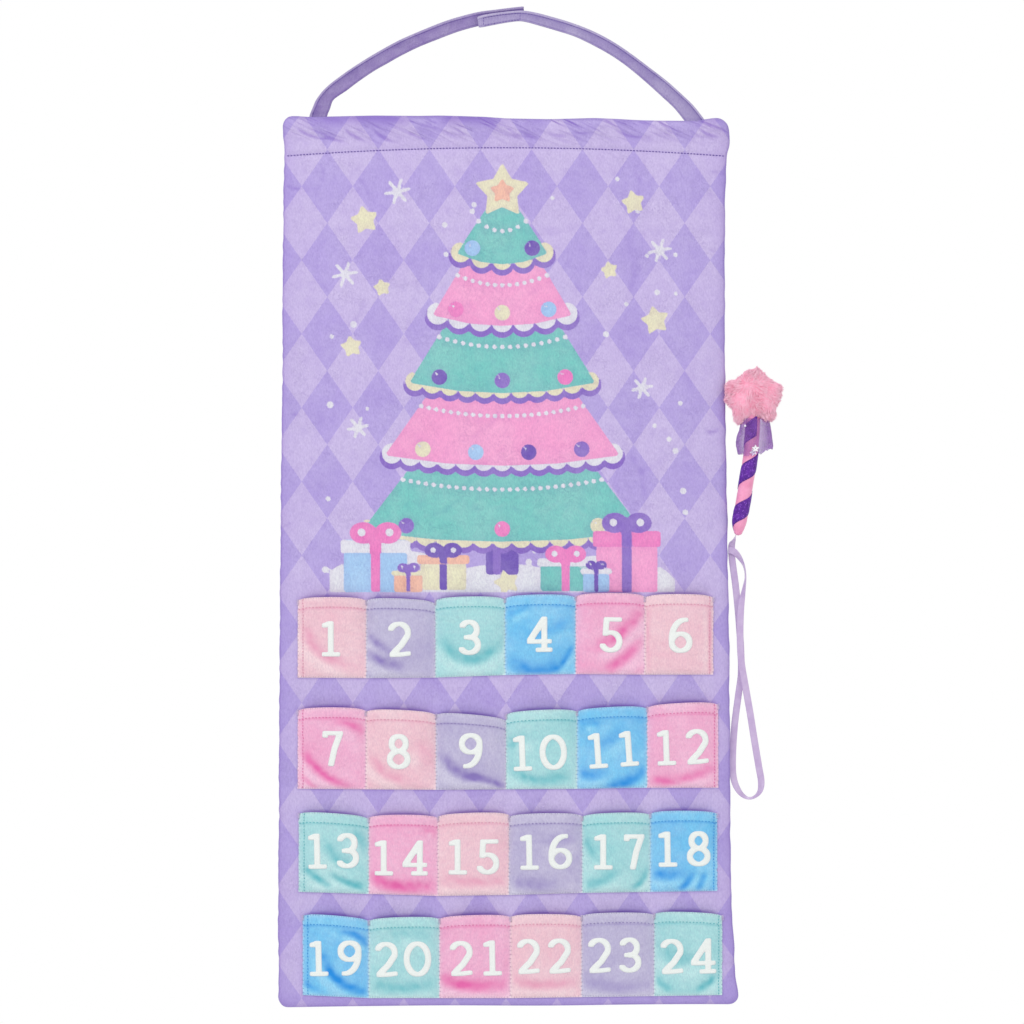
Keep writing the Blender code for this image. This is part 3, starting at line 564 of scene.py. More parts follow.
line, ribbon_reach = smooth_route(np.array(RIBBON_ROUTE) * (MM, MM, MM, 1), RIBBON_SAMPLES)
ribbon_path = np.stack([RIBBON_SEAM_X + line[:, 0], line[:, 1], WAND_AXIS[2] - line[:, 2]], axis=1)
heading = unit(line[:, 4:] * (1, 1, -1))
level = unit(np.cross(heading, (0, 1, 0)))
facing = np.cross(heading, level)
flat_turn = np.radians(line[:, 3])[:, None]
wide = level * np.cos(flat_turn) + facing * np.sin(flat_turn)
thick = facing * np.cos(flat_turn) - level * np.sin(flat_turn)
rings, side = ribbon_skin(ribbon_path, wide, thick, 16, RIBBON_WIDTH / 2, RIBBON_THICKNESS / 2)
ribbon = tube("satin_tether", rings, ribbon_satin)
set_field(ribbon, "along", np.repeat(ribbon_reach, 16))
set_field(ribbon, "across", np.tile(side, RIBBON_SAMPLES))
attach(ribbon, "panel")
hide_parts("tether_ribbon")
print(f"ribbon {ribbon_reach[-1]:.3f} m long")

# %% [markdown]
# ## The padded panel
# The body is two sheets of cloth round a layer of wadding, sewn edge to edge, with a casing for the
# rod across the top. It isn't blown up like a cushion: it is a few millimetres deep, rolls over at
# the seam, dips in the stitched line under the casing and ripples gently. One height in words: the
# middle's depth, times a rounded shoulder at each edge, less the stitched dip, plus ripples and the
# drag lines that run from the strap's ends. That height is a function of place, so stitches and
# pockets can ask it where the cloth is.

# %% Panel outline
EDGE_ROLL = 10 * MM
CORNER_RADIUS = 9 * MM
SEAM_HALF = 0.35 * MM
OUTLINE_Z = np.array((-895, -885, -868, -800, -700, -560, -450, -300, -215, -150, -117, -108, -95, -82)) * MM
LEFT_EDGE = np.array((-207.5, -207.2, -207.1, -207.2, -206.8, -206, -205, -203.5, -203, -202.4, -202, -201.6,
                      -203, -203.4)) * MM
RIGHT_EDGE = np.array((214.6, 214.8, 211.5, 208, 206.8, 206, 204, 202, 201.8, 202.6, 203.2, 206.6, 206.2,
                       203.6)) * MM
BOTTOM_X = np.array((-208, -150, -60, 40, 120, 190, 216)) * MM
BOTTOM_WAVE = np.array((-2.6, -1.6, -0.6, -1.0, 0.2, 0.6, 0.2)) * MM
# The top edge in the photograph: it sags to the right of the middle and rises to lobes at both corners.
TOP_X = photo_x(np.array((284, 296, 310, 352, 374, 418, 440, 462, 484, 506, 550, 594, 616, 640, 660, 694, 706,
                          714, 722, 728)))
TOP_ROWS = np.array((116.4, 116, 117, 116, 115.5, 115.9, 115.5, 116.1, 116.8, 118.4, 119.2, 118, 118.9, 120.3,
                     120.7, 120.9, 119.2, 117.9, 118.2, 118.6))


def smooth_between(value, places, levels, reach):
    """Straight lines through the given places, rounded by taking the mean over a reach."""
    shifts = np.linspace(-reach, reach, 9)
    return np.mean([np.interp(value + shift, places, levels) for shift in shifts], axis=0)


def panel_sides(z):
    """The left and right edges of the panel at a height, drawn in round the corners and a little wavy."""
    nearest_end = np.minimum(PANEL_TOP - z, z - PANEL_BOTTOM)
    short = np.clip(CORNER_RADIUS - nearest_end, 0, CORNER_RADIUS)
    drawn_in = CORNER_RADIUS - np.sqrt(CORNER_RADIUS**2 - short**2)
    waves = [drift(z, 0 * z, 60 * MM, 9 * MM, 12, seed) * 0.45 * MM for seed in (31, 32)]
    left = smooth_between(z, OUTLINE_Z, LEFT_EDGE, 7 * MM) + drawn_in + waves[0]
    right = smooth_between(z, OUTLINE_Z, RIGHT_EDGE, 4 * MM) - drawn_in + waves[1]
    return left, right

# %% Panel relief
CASING_STITCH_DROP = 28 * MM
CASING_STITCH_SAG = 7.8 * MM
rod_low, rod_high = (np.array(corner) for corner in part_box("hanging_rod"))
ROD_DROP = PANEL_TOP - (rod_low[2] + rod_high[2]) / 2
ROD_COVER = (rod_high[2] - rod_low[2]) / 2 + 0.9 * MM
ROD_Y = (rod_low[1] + rod_high[1]) / 2
PINCH_DEPTH = 1.3 * MM
PINCH_REACH = 2.6 * MM
HALF_PANEL = 203 * MM
draw = np.random.default_rng(11)


def scattered(count, *ranges):
    """Creases drawn at random: ranges of x, z, turn, half length, width and height, in mm and degrees."""
    x, z, turn, length, width, height = (draw.uniform(*span, count) for span in ranges)
    return list(zip(zip(x * MM, z * MM), np.radians(turn), length * MM, width * MM, height * MM))


# Slanting gathers in the casing, drags below its seam, and faint creases over the open cloth.
cloth_creases = (
    scattered(26, (-190, 190), (-100, -87), (-36, -14), (10, 22), (1.5, 2.8), (-1.0, -0.35))
    + scattered(14, (-190, 190), (-106, -87), (-40, -12), (8, 18), (1.4, 2.4), (0.25, 0.6))
    + scattered(14, (-200, -120), (-150, -112), (40, 120), (6, 16), (1.4, 2.6), (-0.35, 0.2))
    + scattered(14, (120, 200), (-150, -112), (50, 140), (6, 16), (1.4, 2.6), (-0.35, 0.2))
    + scattered(30, (-190, 190), (-500, -125), (0, 180), (14, 46), (2.2, 5.0), (-0.30, 0.22))
    + scattered(40, (-204, -190), (-880, -130), (-30, 30), (4, 9), (1.2, 2.4), (-0.45, 0.2))
    + scattered(40, (190, 206), (-880, -130), (-30, 30), (4, 9), (1.2, 2.4), (-0.45, 0.2))
)


def rounded_shoulder(distance, reach):
    """From 0 at an edge to 1 at a reach from it, like the side of a flattened ball."""
    share = np.clip(distance / reach, 0, 1)
    return (1 - (1 - share) ** 2.4) ** (1 / 2.2)


def casing_stitch(x):
    """Height of the stitched line under the casing: it sags towards both sides."""
    return PANEL_TOP - CASING_STITCH_DROP - CASING_STITCH_SAG * (x / HALF_PANEL) ** 2


def from_edges(x, z):
    """Distance in from the panel's nearer side, and from its nearer end."""
    left, right = panel_sides(z)
    return np.minimum(x - left, right - x), np.minimum(PANEL_TOP - z, z - PANEL_BOTTOM)


def rolled_over(full, edge, end):
    """A depth that rolls down to the seam at the side and at the end."""
    return SEAM_HALF + (full - SEAM_HALF) * rounded_shoulder(edge, EDGE_ROLL) * rounded_shoulder(
        end, EDGE_ROLL)


def panel_depth(x, z):
    """How far the cloth stands before the seam's plane, as the cell above says in words."""
    edge, end = from_edges(x, z)
    drop = PANEL_TOP - z
    full = FRONT_DEPTH + (CASING_DEPTH - FRONT_DEPTH) * bell(drop - ROD_DROP, 10 * MM)
    below = z - casing_stitch(x)
    open_cloth = np.clip((z + 500 * MM) / (60 * MM), 0.15, 1)
    ripple = drift(x, z, 130 * MM, 45 * MM, 16, 3) * 0.5 * MM
    ripple = ripple + drift(x, z, 30 * MM, 11 * MM, 14, 4) * 0.12 * MM
    ripple += drift(x, z, 9 * MM, 4.5 * MM, 12, 8) * 0.05 * MM
    puckers = np.sin(x / (1.9 * MM) + 1.5 * np.sin(x / (13 * MM)))
    puckers = puckers * np.exp(-np.abs(below) / (5 * MM)) * 0.16 * MM
    puckers += np.sin(z / (2.3 * MM) + 2 * np.sin(z / (21 * MM))) * np.exp(-edge / (6 * MM)) * 0.30 * MM
    full = full - PINCH_DEPTH * bell(below, PINCH_REACH) + puckers
    for place, angle, length, width, height in cloth_creases:
        ripple = ripple + crease(x, z, place, angle, length, width, 0.25) * height
    full = full + (ripple - 0.35 * MM) * open_cloth
    over_rod = np.sqrt(np.maximum(ROD_COVER**2 - (drop - ROD_DROP) ** 2, 0)) - ROD_Y
    full = np.maximum(full, np.where(np.abs(drop - ROD_DROP) < ROD_COVER, over_rod, 0))
    return rolled_over(full, edge, end)


def graded(length, step_at):
    """Places from 0 to a length, whose spacing follows a wished step; their number is odd."""
    fine = np.linspace(0, length, 8001)
    density = 1 / step_at(fine)
    count = np.concatenate([[0], np.cumsum((density[1:] + density[:-1]) / 2 * np.diff(fine))])
    return np.interp(np.linspace(0, count[-1], 2 * int(round(count[-1] / 2)) + 1), count, fine)


def panel_step(drop):
    """Fine rows at both ends, in the casing, over the print and by the pocket mouths."""
    end = np.minimum(drop, PANEL_HEIGHT - drop)
    step = np.interp(drop, (0, 0.034, 0.040, 0.440, 0.450, 1), (1.7, 1.7, 2.25, 2.25, 4.4, 4.4)) * MM
    mouths = PANEL_TOP - photo_z(np.array((597, 709, 813, 914)) - 1.5)
    near_mouth = np.min(np.abs(drop[:, None] - mouths[None, :]), axis=1)
    step = np.minimum(step, np.interp(near_mouth, (0, 5 * MM, 11 * MM), (1.3 * MM, 1.6 * MM, 4.4 * MM)))
    return np.minimum(step, np.interp(end, (0, 9 * MM), (0.4 * MM, 2.2 * MM)))


def side_step(across):
    """Fine columns at both side seams."""
    return np.interp(np.minimum(across, 2 * HALF_PANEL - across), (0, 9 * MM), (0.4 * MM, 2.2 * MM))


drops = graded(PANEL_HEIGHT, panel_step)
columns = graded(2 * HALF_PANEL, side_step) / (2 * HALF_PANEL)
row_z = PANEL_TOP - drops
left, right = panel_sides(row_z)
panel_x = left[:, None] + (right - left)[:, None] * columns[None, :]
hang = np.clip((drops - PANEL_HEIGHT + 0.12) / 0.12, 0, 1)[:, None] ** 2
top_rise = smooth_between(panel_x[:1], TOP_X, photo_z(TOP_ROWS) - PANEL_TOP, 3 * MM)
lift = np.exp(-drops / (5 * MM))[:, None] * top_rise
panel_z = row_z[:, None] + hang * smooth_between(panel_x, BOTTOM_X, BOTTOM_WAVE, 25 * MM) + lift
panel_front = panel_depth(panel_x, np.clip(row_z[:, None], PANEL_BOTTOM, PANEL_TOP))
print("panel grid", panel_front.shape, f"deepest {panel_front.max() / MM:.1f} mm")

# %% [markdown]
# ## The printed picture
# The upper half carries a large pastel print over the diamonds. Here it is a plain winter tree in
# scalloped tiers, with gifts on snow. A print has hard edges that a mesh of this fineness can't
# follow face by face, so each ink is kept as a distance: every point of the cloth stores how far it
# is from that ink's edge, less than zero inside. The material draws the edge where the distance
# passes zero, which stays crisp between points. A later shape covers an earlier one, so it cuts
# itself out of the other inks' distances as it is laid down.

# %% Distances to shapes
ART_LEFT, ART_RIGHT = -160 * MM, 156 * MM
ART_FOOT = -516.8 * MM
ART_MIDDLE = (ART_LEFT + ART_RIGHT) / 2
FAR = 60 * MM
INKS = {
    "ink_snow": (236, 238, 243),
    "ink_pink": (252, 168, 214),
    "ink_mint": (124, 207, 199),
    "ink_cream": (240, 237, 201),
    "ink_purple": (147, 116, 206),
    "ink_hot_pink": (249, 138, 203),
    "ink_sky": (172, 212, 248),
    "ink_violet": (121, 92, 190),
    "ink_peach": (252, 198, 172),
}
ink_fields = {ink: np.full(panel_x.shape, FAR) for ink in INKS}


def stroke_distance(x, z, strokes):
    """Distance to the nearest of several bent lines, for arrays of places."""
    nearest = np.full(x.shape, np.inf)
    for stroke in strokes:
        for (ax, az), (bx, bz) in zip(stroke, stroke[1:]):
            dx, dz = bx - ax, bz - az
            share = np.clip(((x - ax) * dx + (z - az) * dz) / (dx * dx + dz * dz + 1e-12), 0, 1)
            nearest = np.minimum(nearest, np.hypot(x - ax - share * dx, z - az - share * dz))
    return nearest


def disc(x, z, radius, wide=1.0):
    """Distance to a round or oval patch: the length of the way to its middle, less its radius."""
    return (np.hypot((panel_x - x * MM) / wide, panel_z - z * MM) - radius * MM) * min(1, wide)


def polygon(*corners):
    """Distance to straight sides: the least distance to any side, negative between them."""
    ends = np.array(corners, float) * MM
    nearest = np.full(panel_x.shape, np.inf)
    inside = np.zeros(panel_x.shape, bool)
    for (ax, az), (bx, bz) in zip(ends, np.roll(ends, -1, axis=0)):
        dx, dz = bx - ax, bz - az
        share = np.clip(((panel_x - ax) * dx + (panel_z - az) * dz) / (dx * dx + dz * dz), 0, 1)
        nearest = np.minimum(nearest, np.hypot(panel_x - ax - share * dx, panel_z - az - share * dz))
        crosses = (az > panel_z) != (bz > panel_z)
        level = ax + (panel_z - az) / (dz if dz else 1e-9) * dx
        inside ^= crosses & (panel_x < level)
    return np.where(inside, -nearest, nearest)


def block(x, z, width, height, corner=2.0):
    """Distance to a box standing on z, with round corners."""
    out_x = np.abs(panel_x - x * MM) - (width / 2 - corner) * MM
    out_z = np.abs(panel_z - (z + height / 2) * MM) - (height / 2 - corner) * MM
    outside = np.hypot(np.maximum(out_x, 0), np.maximum(out_z, 0))
    return outside + np.minimum(np.maximum(out_x, out_z), 0) - corner * MM


def star_shape(x, z, radius, waist=0.5, turn=0.0, points=5):
    """Distance to a pointed star, corner to corner round its middle."""
    angle = np.pi / 2 + turn + np.arange(2 * points) * np.pi / points
    reach = np.where(np.arange(2 * points) % 2, radius * waist, radius)
    return polygon(*zip(x + reach * np.cos(angle), z + reach * np.sin(angle))) - 1.2 * MM


def joined(*distances):
    """Distance to several patches taken as one: the least of theirs."""
    return np.minimum.reduce(distances)


def lay(ink, distance):
    """Prints a patch: it joins its own ink, and is cut out of every other."""
    for other, levels in ink_fields.items():
        levels[:] = np.minimum(levels, distance) if other == ink else np.maximum(levels, -distance - 0.4 * MM)


# %% Snow, tree and trims
draw = np.random.default_rng(21)
below_foot = ART_FOOT - panel_z
middle_x = ART_MIDDLE / MM
foot_z = ART_FOOT / MM


def on_ground(distance):
    """The part of a patch above the print's flat foot."""
    return np.maximum(distance, below_foot)


SNOW_DOTS = 66
# Place and size in mm, and the turns of a snowflake's three arms.
STARS = ((-128, -176, 12), (118, -160, 10), (-140, -292, 9), (138, -268, 12), (-112, -238, 7), (96, -222, 7))
SNOWFLAKES = ((-98, -150, 11), (142, -204, 10), (-146, -226, 11), (126, -330, 9), (-134, -366, 9))
ARM_TURNS = (0.2, 1.247, 2.294)

for _ in range(SNOW_DOTS):
    spot_x, spot_z = draw.uniform(-168, 166), draw.uniform(-500, -138)
    lay("ink_snow", disc(spot_x, spot_z, draw.uniform(1.9, 3.3)))
for spot_x, spot_z, size in STARS:
    lay("ink_cream", star_shape(spot_x, spot_z, size, 0.55, 0.2))
for spot_x, spot_z, size in SNOWFLAKES:
    arms = []
    for arm_turn in ARM_TURNS:
        aside, up = size * math.cos(arm_turn), size * math.sin(arm_turn)
        arm = [(spot_x - aside, spot_z - up), (spot_x + aside, spot_z + up)]
        arms.append(stroke_distance(panel_x / MM, panel_z / MM, [arm]) - 1.5)
    lay("ink_snow", joined(*arms) * MM)

snow = joined(
    disc(-96, foot_z - 62, 100, 1.1), disc(92, foot_z - 74, 108, 0.98), disc(0, foot_z - 66, 92, 1.3),
    disc(-134, foot_z + 2, 26), disc(134, foot_z, 24),
)
lay("ink_snow", on_ground(np.maximum(snow, np.maximum(ART_LEFT - panel_x, panel_x - ART_RIGHT))))
lay("ink_violet", block(middle_x, foot_z + 16, 30, 56, 3))
lay("ink_purple", block(middle_x - 5, foot_z + 16, 8, 56, 3))

# Each tier: its top, its foot, half widths at both, and its ink, from the ground up.
TIERS = (
    (-366, -462, 54, 122, "ink_mint"), (-302, -392, 42, 101, "ink_pink"), (-242, -326, 31, 80, "ink_mint"),
    (-192, -264, 19, 59, "ink_pink"), (-150, -208, 2, 38, "ink_mint"),
)
TRIM_INKS = ("ink_cream", "ink_snow")
BAUBLE_INKS = ("ink_purple", "ink_hot_pink", "ink_cream", "ink_sky", "ink_violet")
for level, (top, foot, near, far, ink) in enumerate(TIERS):
    count = 2 * round(far / 17) + 1
    scallop_x = middle_x + np.linspace(-far, far, count)
    drops_down = 7 * (1 - ((scallop_x - middle_x) / far) ** 2)
    size = far / count * 1.22
    shadow = [disc(x, foot - drop - 1.0, size + 1.9) for x, drop in zip(scallop_x, drops_down)]
    skirt = [disc(x, foot - drop + 2, size) for x, drop in zip(scallop_x, drops_down)]
    lay("ink_purple", joined(*shadow))
    lay(TRIM_INKS[level % 2], joined(*skirt))
    sides = polygon((middle_x - near, top), (middle_x + near, top), (middle_x + far * 1.03, foot + 2),
                    (middle_x + far * 0.5, foot - 5),
                    (middle_x, foot - 7), (middle_x - far * 0.5, foot - 5), (middle_x - far * 1.03, foot + 2))
    lay(ink, sides - 2 * MM)
    swag = foot + (top - foot) * 0.46
    reach = near + (far - near) * 0.54
    beads = np.linspace(-reach, reach, 2 * round(reach / 7) + 1)
    lay("ink_snow", joined(*(disc(middle_x + x, swag - 9 * (1 - (x / reach) ** 2) + 4, 2.6) for x in beads)))
    for k, x in enumerate(np.linspace(-far * 0.72, far * 0.72, 2 + level % 2 + (far > 70))):
        ball = BAUBLE_INKS[(k + 2 * level) % len(BAUBLE_INKS)]
        ball_z = foot + 9 - 6 * (1 - (x / far) ** 2)
        lay(ball, disc(middle_x + x, ball_z, 7.2))
        lay("ink_snow", disc(middle_x + x - 2.4, ball_z + 2.6, 1.7))
lay("ink_cream", star_shape(middle_x, -150, 24, 0.54))
lay("ink_peach", star_shape(middle_x, -150, 10, 0.56))

# %% Gifts
def gift(x, width, height, box_ink, lid_ink, band_ink, lift=0.0):
    """A wrapped box on the snow: box, lid, an upright band and a bow of two loops."""
    z = foot_z + lift
    lay(box_ink, on_ground(block(x, z, width, height, 2.4)))
    lay(band_ink, on_ground(block(x, z, width * 0.16, height, 1)))
    lay(lid_ink, block(x, z + height * 0.74, width + 6, height * 0.26, 2.4))
    lay(band_ink, block(x, z + height * 0.74, width * 0.18, height * 0.26, 1))
    loop = width * 0.17
    loops = joined(disc(x - loop * 1.15, z + height * 1.13, loop, 1.25),
                   disc(x + loop * 1.15, z + height * 1.13, loop, 1.25))
    lay(band_ink, loops)
    holes = joined(disc(x - loop * 1.3, z + height * 1.14, loop * 0.42),
                   disc(x + loop * 1.3, z + height * 1.14, loop * 0.42))
    lay("ink_snow", holes)
    lay(band_ink, disc(x, z + height * 1.06, width * 0.09))


gift(-118, 58, 48, "ink_sky", "ink_snow", "ink_hot_pink")
gift(112, 56, 56, "ink_pink", "ink_hot_pink", "ink_purple")
gift(-56, 42, 32, "ink_cream", "ink_peach", "ink_violet", 2)
gift(56, 46, 30, "ink_mint", "ink_snow", "ink_hot_pink", 1)
gift(-88, 26, 20, "ink_peach", "ink_cream", "ink_purple")
gift(84, 24, 22, "ink_sky", "ink_snow", "ink_violet")
lay("ink_cream", on_ground(star_shape(2, foot_z + 9, 11, 0.52, 0.3)))
print("inks laid:", ", ".join(INKS))

# %% [markdown]
# ## Where the pockets are sewn
# The photograph gives each row's seams, mouths and feet, since no two pockets of a hand-sewn row are
# quite alike. They are read before the panel is made, because painted shade darkens its cloth above
# their mouths and along their feet. The main creases of each pocket are read here too, as curves
# through three places, since the light falls on them in ways that chance would not repeat.

# %% Pocket places
ROWS, COLUMNS = 4, 6
SEAM_COLUMNS = np.array(
    (
        (298, 366.5, 435.5, 505, 575.5, 644.5, 713), (298, 366, 436, 506, 577, 647, 718),
        (299, 369, 438, 509, 582, 650, 717), (303, 369, 439.5, 510.5, 581.5, 654, 722),
    )
)
MOUTH_ROWS = np.array(
    (
        ((598, 598), (598, 601), (598, 597), (596, 595), (594, 594), (595, 595)),
        ((708, 708), (709, 712), (712, 718), (712, 709), (709, 706), (705, 702)),
        ((811, 816), (815, 815), (814, 812), (814, 813), (814, 812), (811, 811)),
        ((913, 918), (918, 916), (916, 914), (914, 914), (913, 912), (911, 913)),
    )
)
FOOT_ROWS = np.array(
    (
        (677, 677.5, 677, 674.5, 673.5, 674, 674), (788, 788.5, 789, 788.5, 788, 787, 787),
        (891, 893, 895, 894, 892, 891, 890), (994, 997, 997, 997, 996, 995, 994),
    )
)
MOUTH_ARCH = 1.2 * MM
CORNER_DIP = 2.3 * MM
CORNER_REACH = 0.075


def mouth_height(row, column, share):
    """Height of a pocket's mouth at a share of the way across: arched a little, its corners drawn down."""
    left, right = photo_z(MOUTH_ROWS[row, column])
    arch = MOUTH_ARCH * 4 * share * (1 - share)
    dip = CORNER_DIP * np.exp((np.abs(share - 0.5) - 0.5) / CORNER_REACH)
    return left + (right - left) * share + arch - dip


# The main creases of each pocket: start, middle and end in the photograph, half width, and depth.
POCKET_CREASES = {
    1: (((307, 626), (318, 650), (352, 667), 6, 0.55),),
    2: (((369, 634), (377, 643), (392, 652), 4, 0.5), ((367, 649), (381, 660), (404, 668), 6, 0.6)),
    3: (((441, 640), (470, 660), (501, 642), 6, 0.65),),
    4: (((508, 660), (535, 671), (560, 664), 7, 0.6), ((556, 670), (566, 658), (573, 645), 3, 0.5),
        ((508, 616), (520, 608), (530, 606), 4, 0.5), ((530, 640), (548, 630), (570, 622), 6, 0.3)),
    5: (((605, 670), (624, 658), (639, 640), 6, 0.6), ((596, 647), (620, 634), (641, 611), 6, 0.65)),
    6: (((647.5, 601), (647, 636), (648, 671), 2.2, 0.35), ((708, 606), (710, 640), (709, 672), 2.6, 0.3)),
    7: (((305, 750), (321, 772), (352, 787), 5, 0.65), ((334, 719), (350, 722), (363, 734), 6, 0.5),
        ((305, 776), (310, 783), (318, 787), 3, 0.4)),
    8: (((370, 753), (383, 771), (404, 780), 5, 0.5), ((413, 742), (424, 752), (430, 766), 8, 0.3)),
    9: (((442, 752), (457, 771), (482, 777), 6, 0.65), ((466, 777), (488, 780), (507, 789), 4, 0.7)),
    10: (((512, 768), (536, 780), (568, 775), 6, 0.5), ((509, 748), (516, 740), (530, 734), 6, 0.4)),
    11: (((606, 789), (628, 782), (647, 767), 6, 0.7), ((581, 771), (592, 775), (606, 770), 5, 0.5),
         ((580, 724), (588, 720), (600, 722), 5, 0.5), ((600, 746), (612, 739), (622, 728), 6, 0.4)),
    12: (((651, 780), (680, 779), (714, 767), 5, 0.55),),
    13: (((305, 867), (318, 878), (332, 885), 4, 0.75), ((330, 872), (346, 881), (364, 887), 4, 0.8),
         ((326, 842), (335, 856), (350, 866), 6, 0.5), ((352, 832), (360, 838), (366, 850), 5, 0.4)),
    14: (((371, 871), (392, 885), (437, 886), 7, 0.7), ((424, 830), (432, 828), (437, 834), 5, 0.5)),
    15: (((441, 880), (470, 882), (506, 880), 6, 0.45),),
    16: (((514, 878), (530, 884), (560, 883), 7, 0.4), ((545, 838), (560, 840), (575, 836), 6, 0.3)),
    17: (((633, 888), (642, 880), (648, 867), 3, 0.55), ((586, 884), (598, 881), (618, 871), 6, 0.5),
         ((585, 836), (588, 846), (594, 856), 5, 0.4)),
    18: (((679, 890), (687, 882), (693, 871), 3.5, 0.75), ((698, 889), (702, 880), (705, 871), 3, 0.65),
         ((653, 872), (665, 875), (682, 872), 5, 0.55)),
    19: (((323, 953), (337, 979), (367, 992), 5, 0.85), ((342, 930), (356, 934), (368, 945), 4, 0.7),
         ((303, 980), (311, 986), (320, 990), 3, 0.45)),
    20: (((374, 984), (400, 988), (434, 982), 6, 0.45), ((392, 935), (410, 930), (430, 938), 7, 0.3)),
    21: (((441, 974), (462, 984), (508, 984), 7, 0.7),),
    22: (((514, 979), (540, 984), (576, 981), 5, 0.5),),
    23: (((585, 980), (610, 986), (650, 984), 6, 0.35),),
    24: (((695, 990), (706, 984), (715, 975), 4, 0.65), ((657, 976), (662, 984), (670, 989), 4, 0.5),
         ((662, 950), (680, 958), (700, 956), 7, 0.35)),
}
print(ROWS * COLUMNS, "pockets,", sum(len(creases) for creases in POCKET_CREASES.values()), "main creases")

# %% [markdown]
# The panel's cloth is printed all over with lavender diamonds. A straight check turned on its corner
# is two slanting counts: the nodes add and take away the scaled width and height, round both, and
# the sum's parity says light or dark. A little noise in the place roughens the edge, as ink on pile
# does. The inks are then mixed over it one after the other.

# %% Printed velour
DIAMOND_WIDTH = 46.74 * MM
DIAMOND_HEIGHT = 67.55 * MM
DIAMOND_X = -138.85 * MM
DIAMOND_Z = -179.02 * MM
EDGE_BLEED = 0.35 * MM
GATHER_SLANT = math.radians(25)
GATHER_SIZE = (40 * MM, 40 * MM, 4.0 * MM)

printed, tree, shader = new_material("printed_velour", Sheen_Weight=0.26, Sheen_Roughness=0.45,
                                     Specular_IOR_Level=0.2)
place = object_place(tree)
rough_edge = add_node(
    tree, "ShaderNodeTexNoise", {"Vector": place, "Scale": 900.0, "Detail": 1.0}).outputs["Color"]
nudge = add_node(tree, "ShaderNodeVectorMath", {0: rough_edge, 1: (0.5, 0.5, 0.5)},
                 operation="SUBTRACT").outputs[0]
nudge = add_node(tree, "ShaderNodeVectorMath", {0: nudge, "Scale": 1.1 * MM}, operation="SCALE").outputs[0]
nudged = add_node(tree, "ShaderNodeVectorMath", {0: place, 1: nudge}, operation="ADD").outputs[0]
parts = add_node(tree, "ShaderNodeSeparateXYZ", {0: nudged}).outputs
across = times_plus(tree, parts["X"], 1 / DIAMOND_WIDTH, -DIAMOND_X / DIAMOND_WIDTH + 0.5)
upward = times_plus(tree, parts["Z"], 1 / DIAMOND_HEIGHT, -DIAMOND_Z / DIAMOND_HEIGHT)
counts = [calculate(tree, "FLOOR", calculate(tree, sign, across, upward)) for sign in ("ADD", "SUBTRACT")]
parity = calculate(tree, "FLOORED_MODULO", calculate(tree, "ADD", *counts), 2.0)
colour = between_tones(tree, parity, (205, 189, 234), (185, 167, 228))
for ink, shown in INKS.items():
    depth = field(tree, ink)
    edge = times_plus(tree, noise(tree, place, 1100, 1.0), 1.0 * MM, -0.5 * MM)
    edge = calculate(tree, "ADD", depth, edge)
    inside = ramp(tree, edge, EDGE_BLEED, -EDGE_BLEED)
    tone = mix_colour(tree, ramp(tree, depth, -7 * MM, -0.5 * MM), cloth_colour(*shown),
                      cloth_colour(*(channel * share for channel, share in zip(shown, (0.975, 0.96, 0.98)))))
    colour = mix_colour(tree, inside, colour, tone)

# Slanting gathers in the casing: noise drawn out along one direction, strongest at the top edge. They and a
# patchy band along the top edge are painted shade.
slanted = add_node(
    tree, "ShaderNodeMapping", {"Vector": place, "Rotation": (0.0, GATHER_SLANT, 0.0), "Scale": GATHER_SIZE},
                   vector_type="TEXTURE").outputs[0]
gather = ramp(tree, noise(tree, slanted, 1.0, 3.0, 0.55, 0.7), 0.46, 0.68)
in_casing = ramp(tree, parts["Z"], PANEL_TOP - 29 * MM, PANEL_TOP - 16 * MM)
gather = times(tree, gather, in_casing)
top_zone = ramp(tree, parts["Z"], PANEL_TOP - 18 * MM, PANEL_TOP - 4 * MM)
patchy = ramp(tree, noise(tree, place, 16, 2.0), 0.42, 0.58)
top_band = times(tree, ramp(tree, parts["Z"], PANEL_TOP - 12 * MM, PANEL_TOP - 1 * MM), patchy)
gather_shade = times(tree, gather, times_plus(tree, top_zone, 0.50, 0.42))
gather_shade = larger(tree, gather_shade, times(tree, top_band, 0.78))
# Painted shade in lines along the panel's own edge and beside the pockets, from distances held by the points.
edge_shade = times(tree, ramp(tree, field(tree, "to_edge"), 3.4 * MM, 0.2 * MM), 0.72)
beside = ramp(tree, field(tree, "to_pocket"), 4.4 * MM, 0.3 * MM)
beside = times(tree, calculate(tree, "POWER", beside, 1.6), field(tree, "pocket_shade"))
shades = larger(tree, larger(tree, edge_shade, gather_shade), beside)
# Painted shade: the fold number and these shades mix the printed colour towards a darker purple.
values = {"Colour": colour, "Painted Shade And Tone": larger(tree, field(tree, "fold"), shades), "Mottle": 0.8}
values["Shade Colour"] = mix_colour(tree, 1.0, colour, (0.48, 0.36, 0.70, 1), "MULTIPLY")
pile = use_group(tree, velour_pile, values)
paint(tree, shader, pile["Colour"], pile["Roughness"])
add_bump(tree, shader, times_plus(tree, gather, -2.2, pile["Height"]), 0.5 * MM, 0.55)
# The back: its colour, then the darker colour of its painted shade.
plain_back = velour("plain_back_velour", (196, 182, 226), (140, 124, 184))

# %% Panel
def panel_back_depth(x, z):
    """How far the back cloth stands behind the seam: a flat face with rounded shoulders."""
    ripple = drift(x, z, 120 * MM, 40 * MM, 14, 5) * 0.35 * MM
    ripple = ripple + drift(x, z, 26 * MM, 10 * MM, 12, 6) * 0.1 * MM
    puckers = np.sin(x / (3.3 * MM)) * np.exp(-np.abs(z - casing_stitch(x)) / (8 * MM)) * 0.2 * MM
    pinch = 1.4 * MM * bell(z - casing_stitch(x), PINCH_REACH)
    return rolled_over(BACK_DEPTH - pinch + ripple - 0.4 * MM + puckers, *from_edges(x, z))


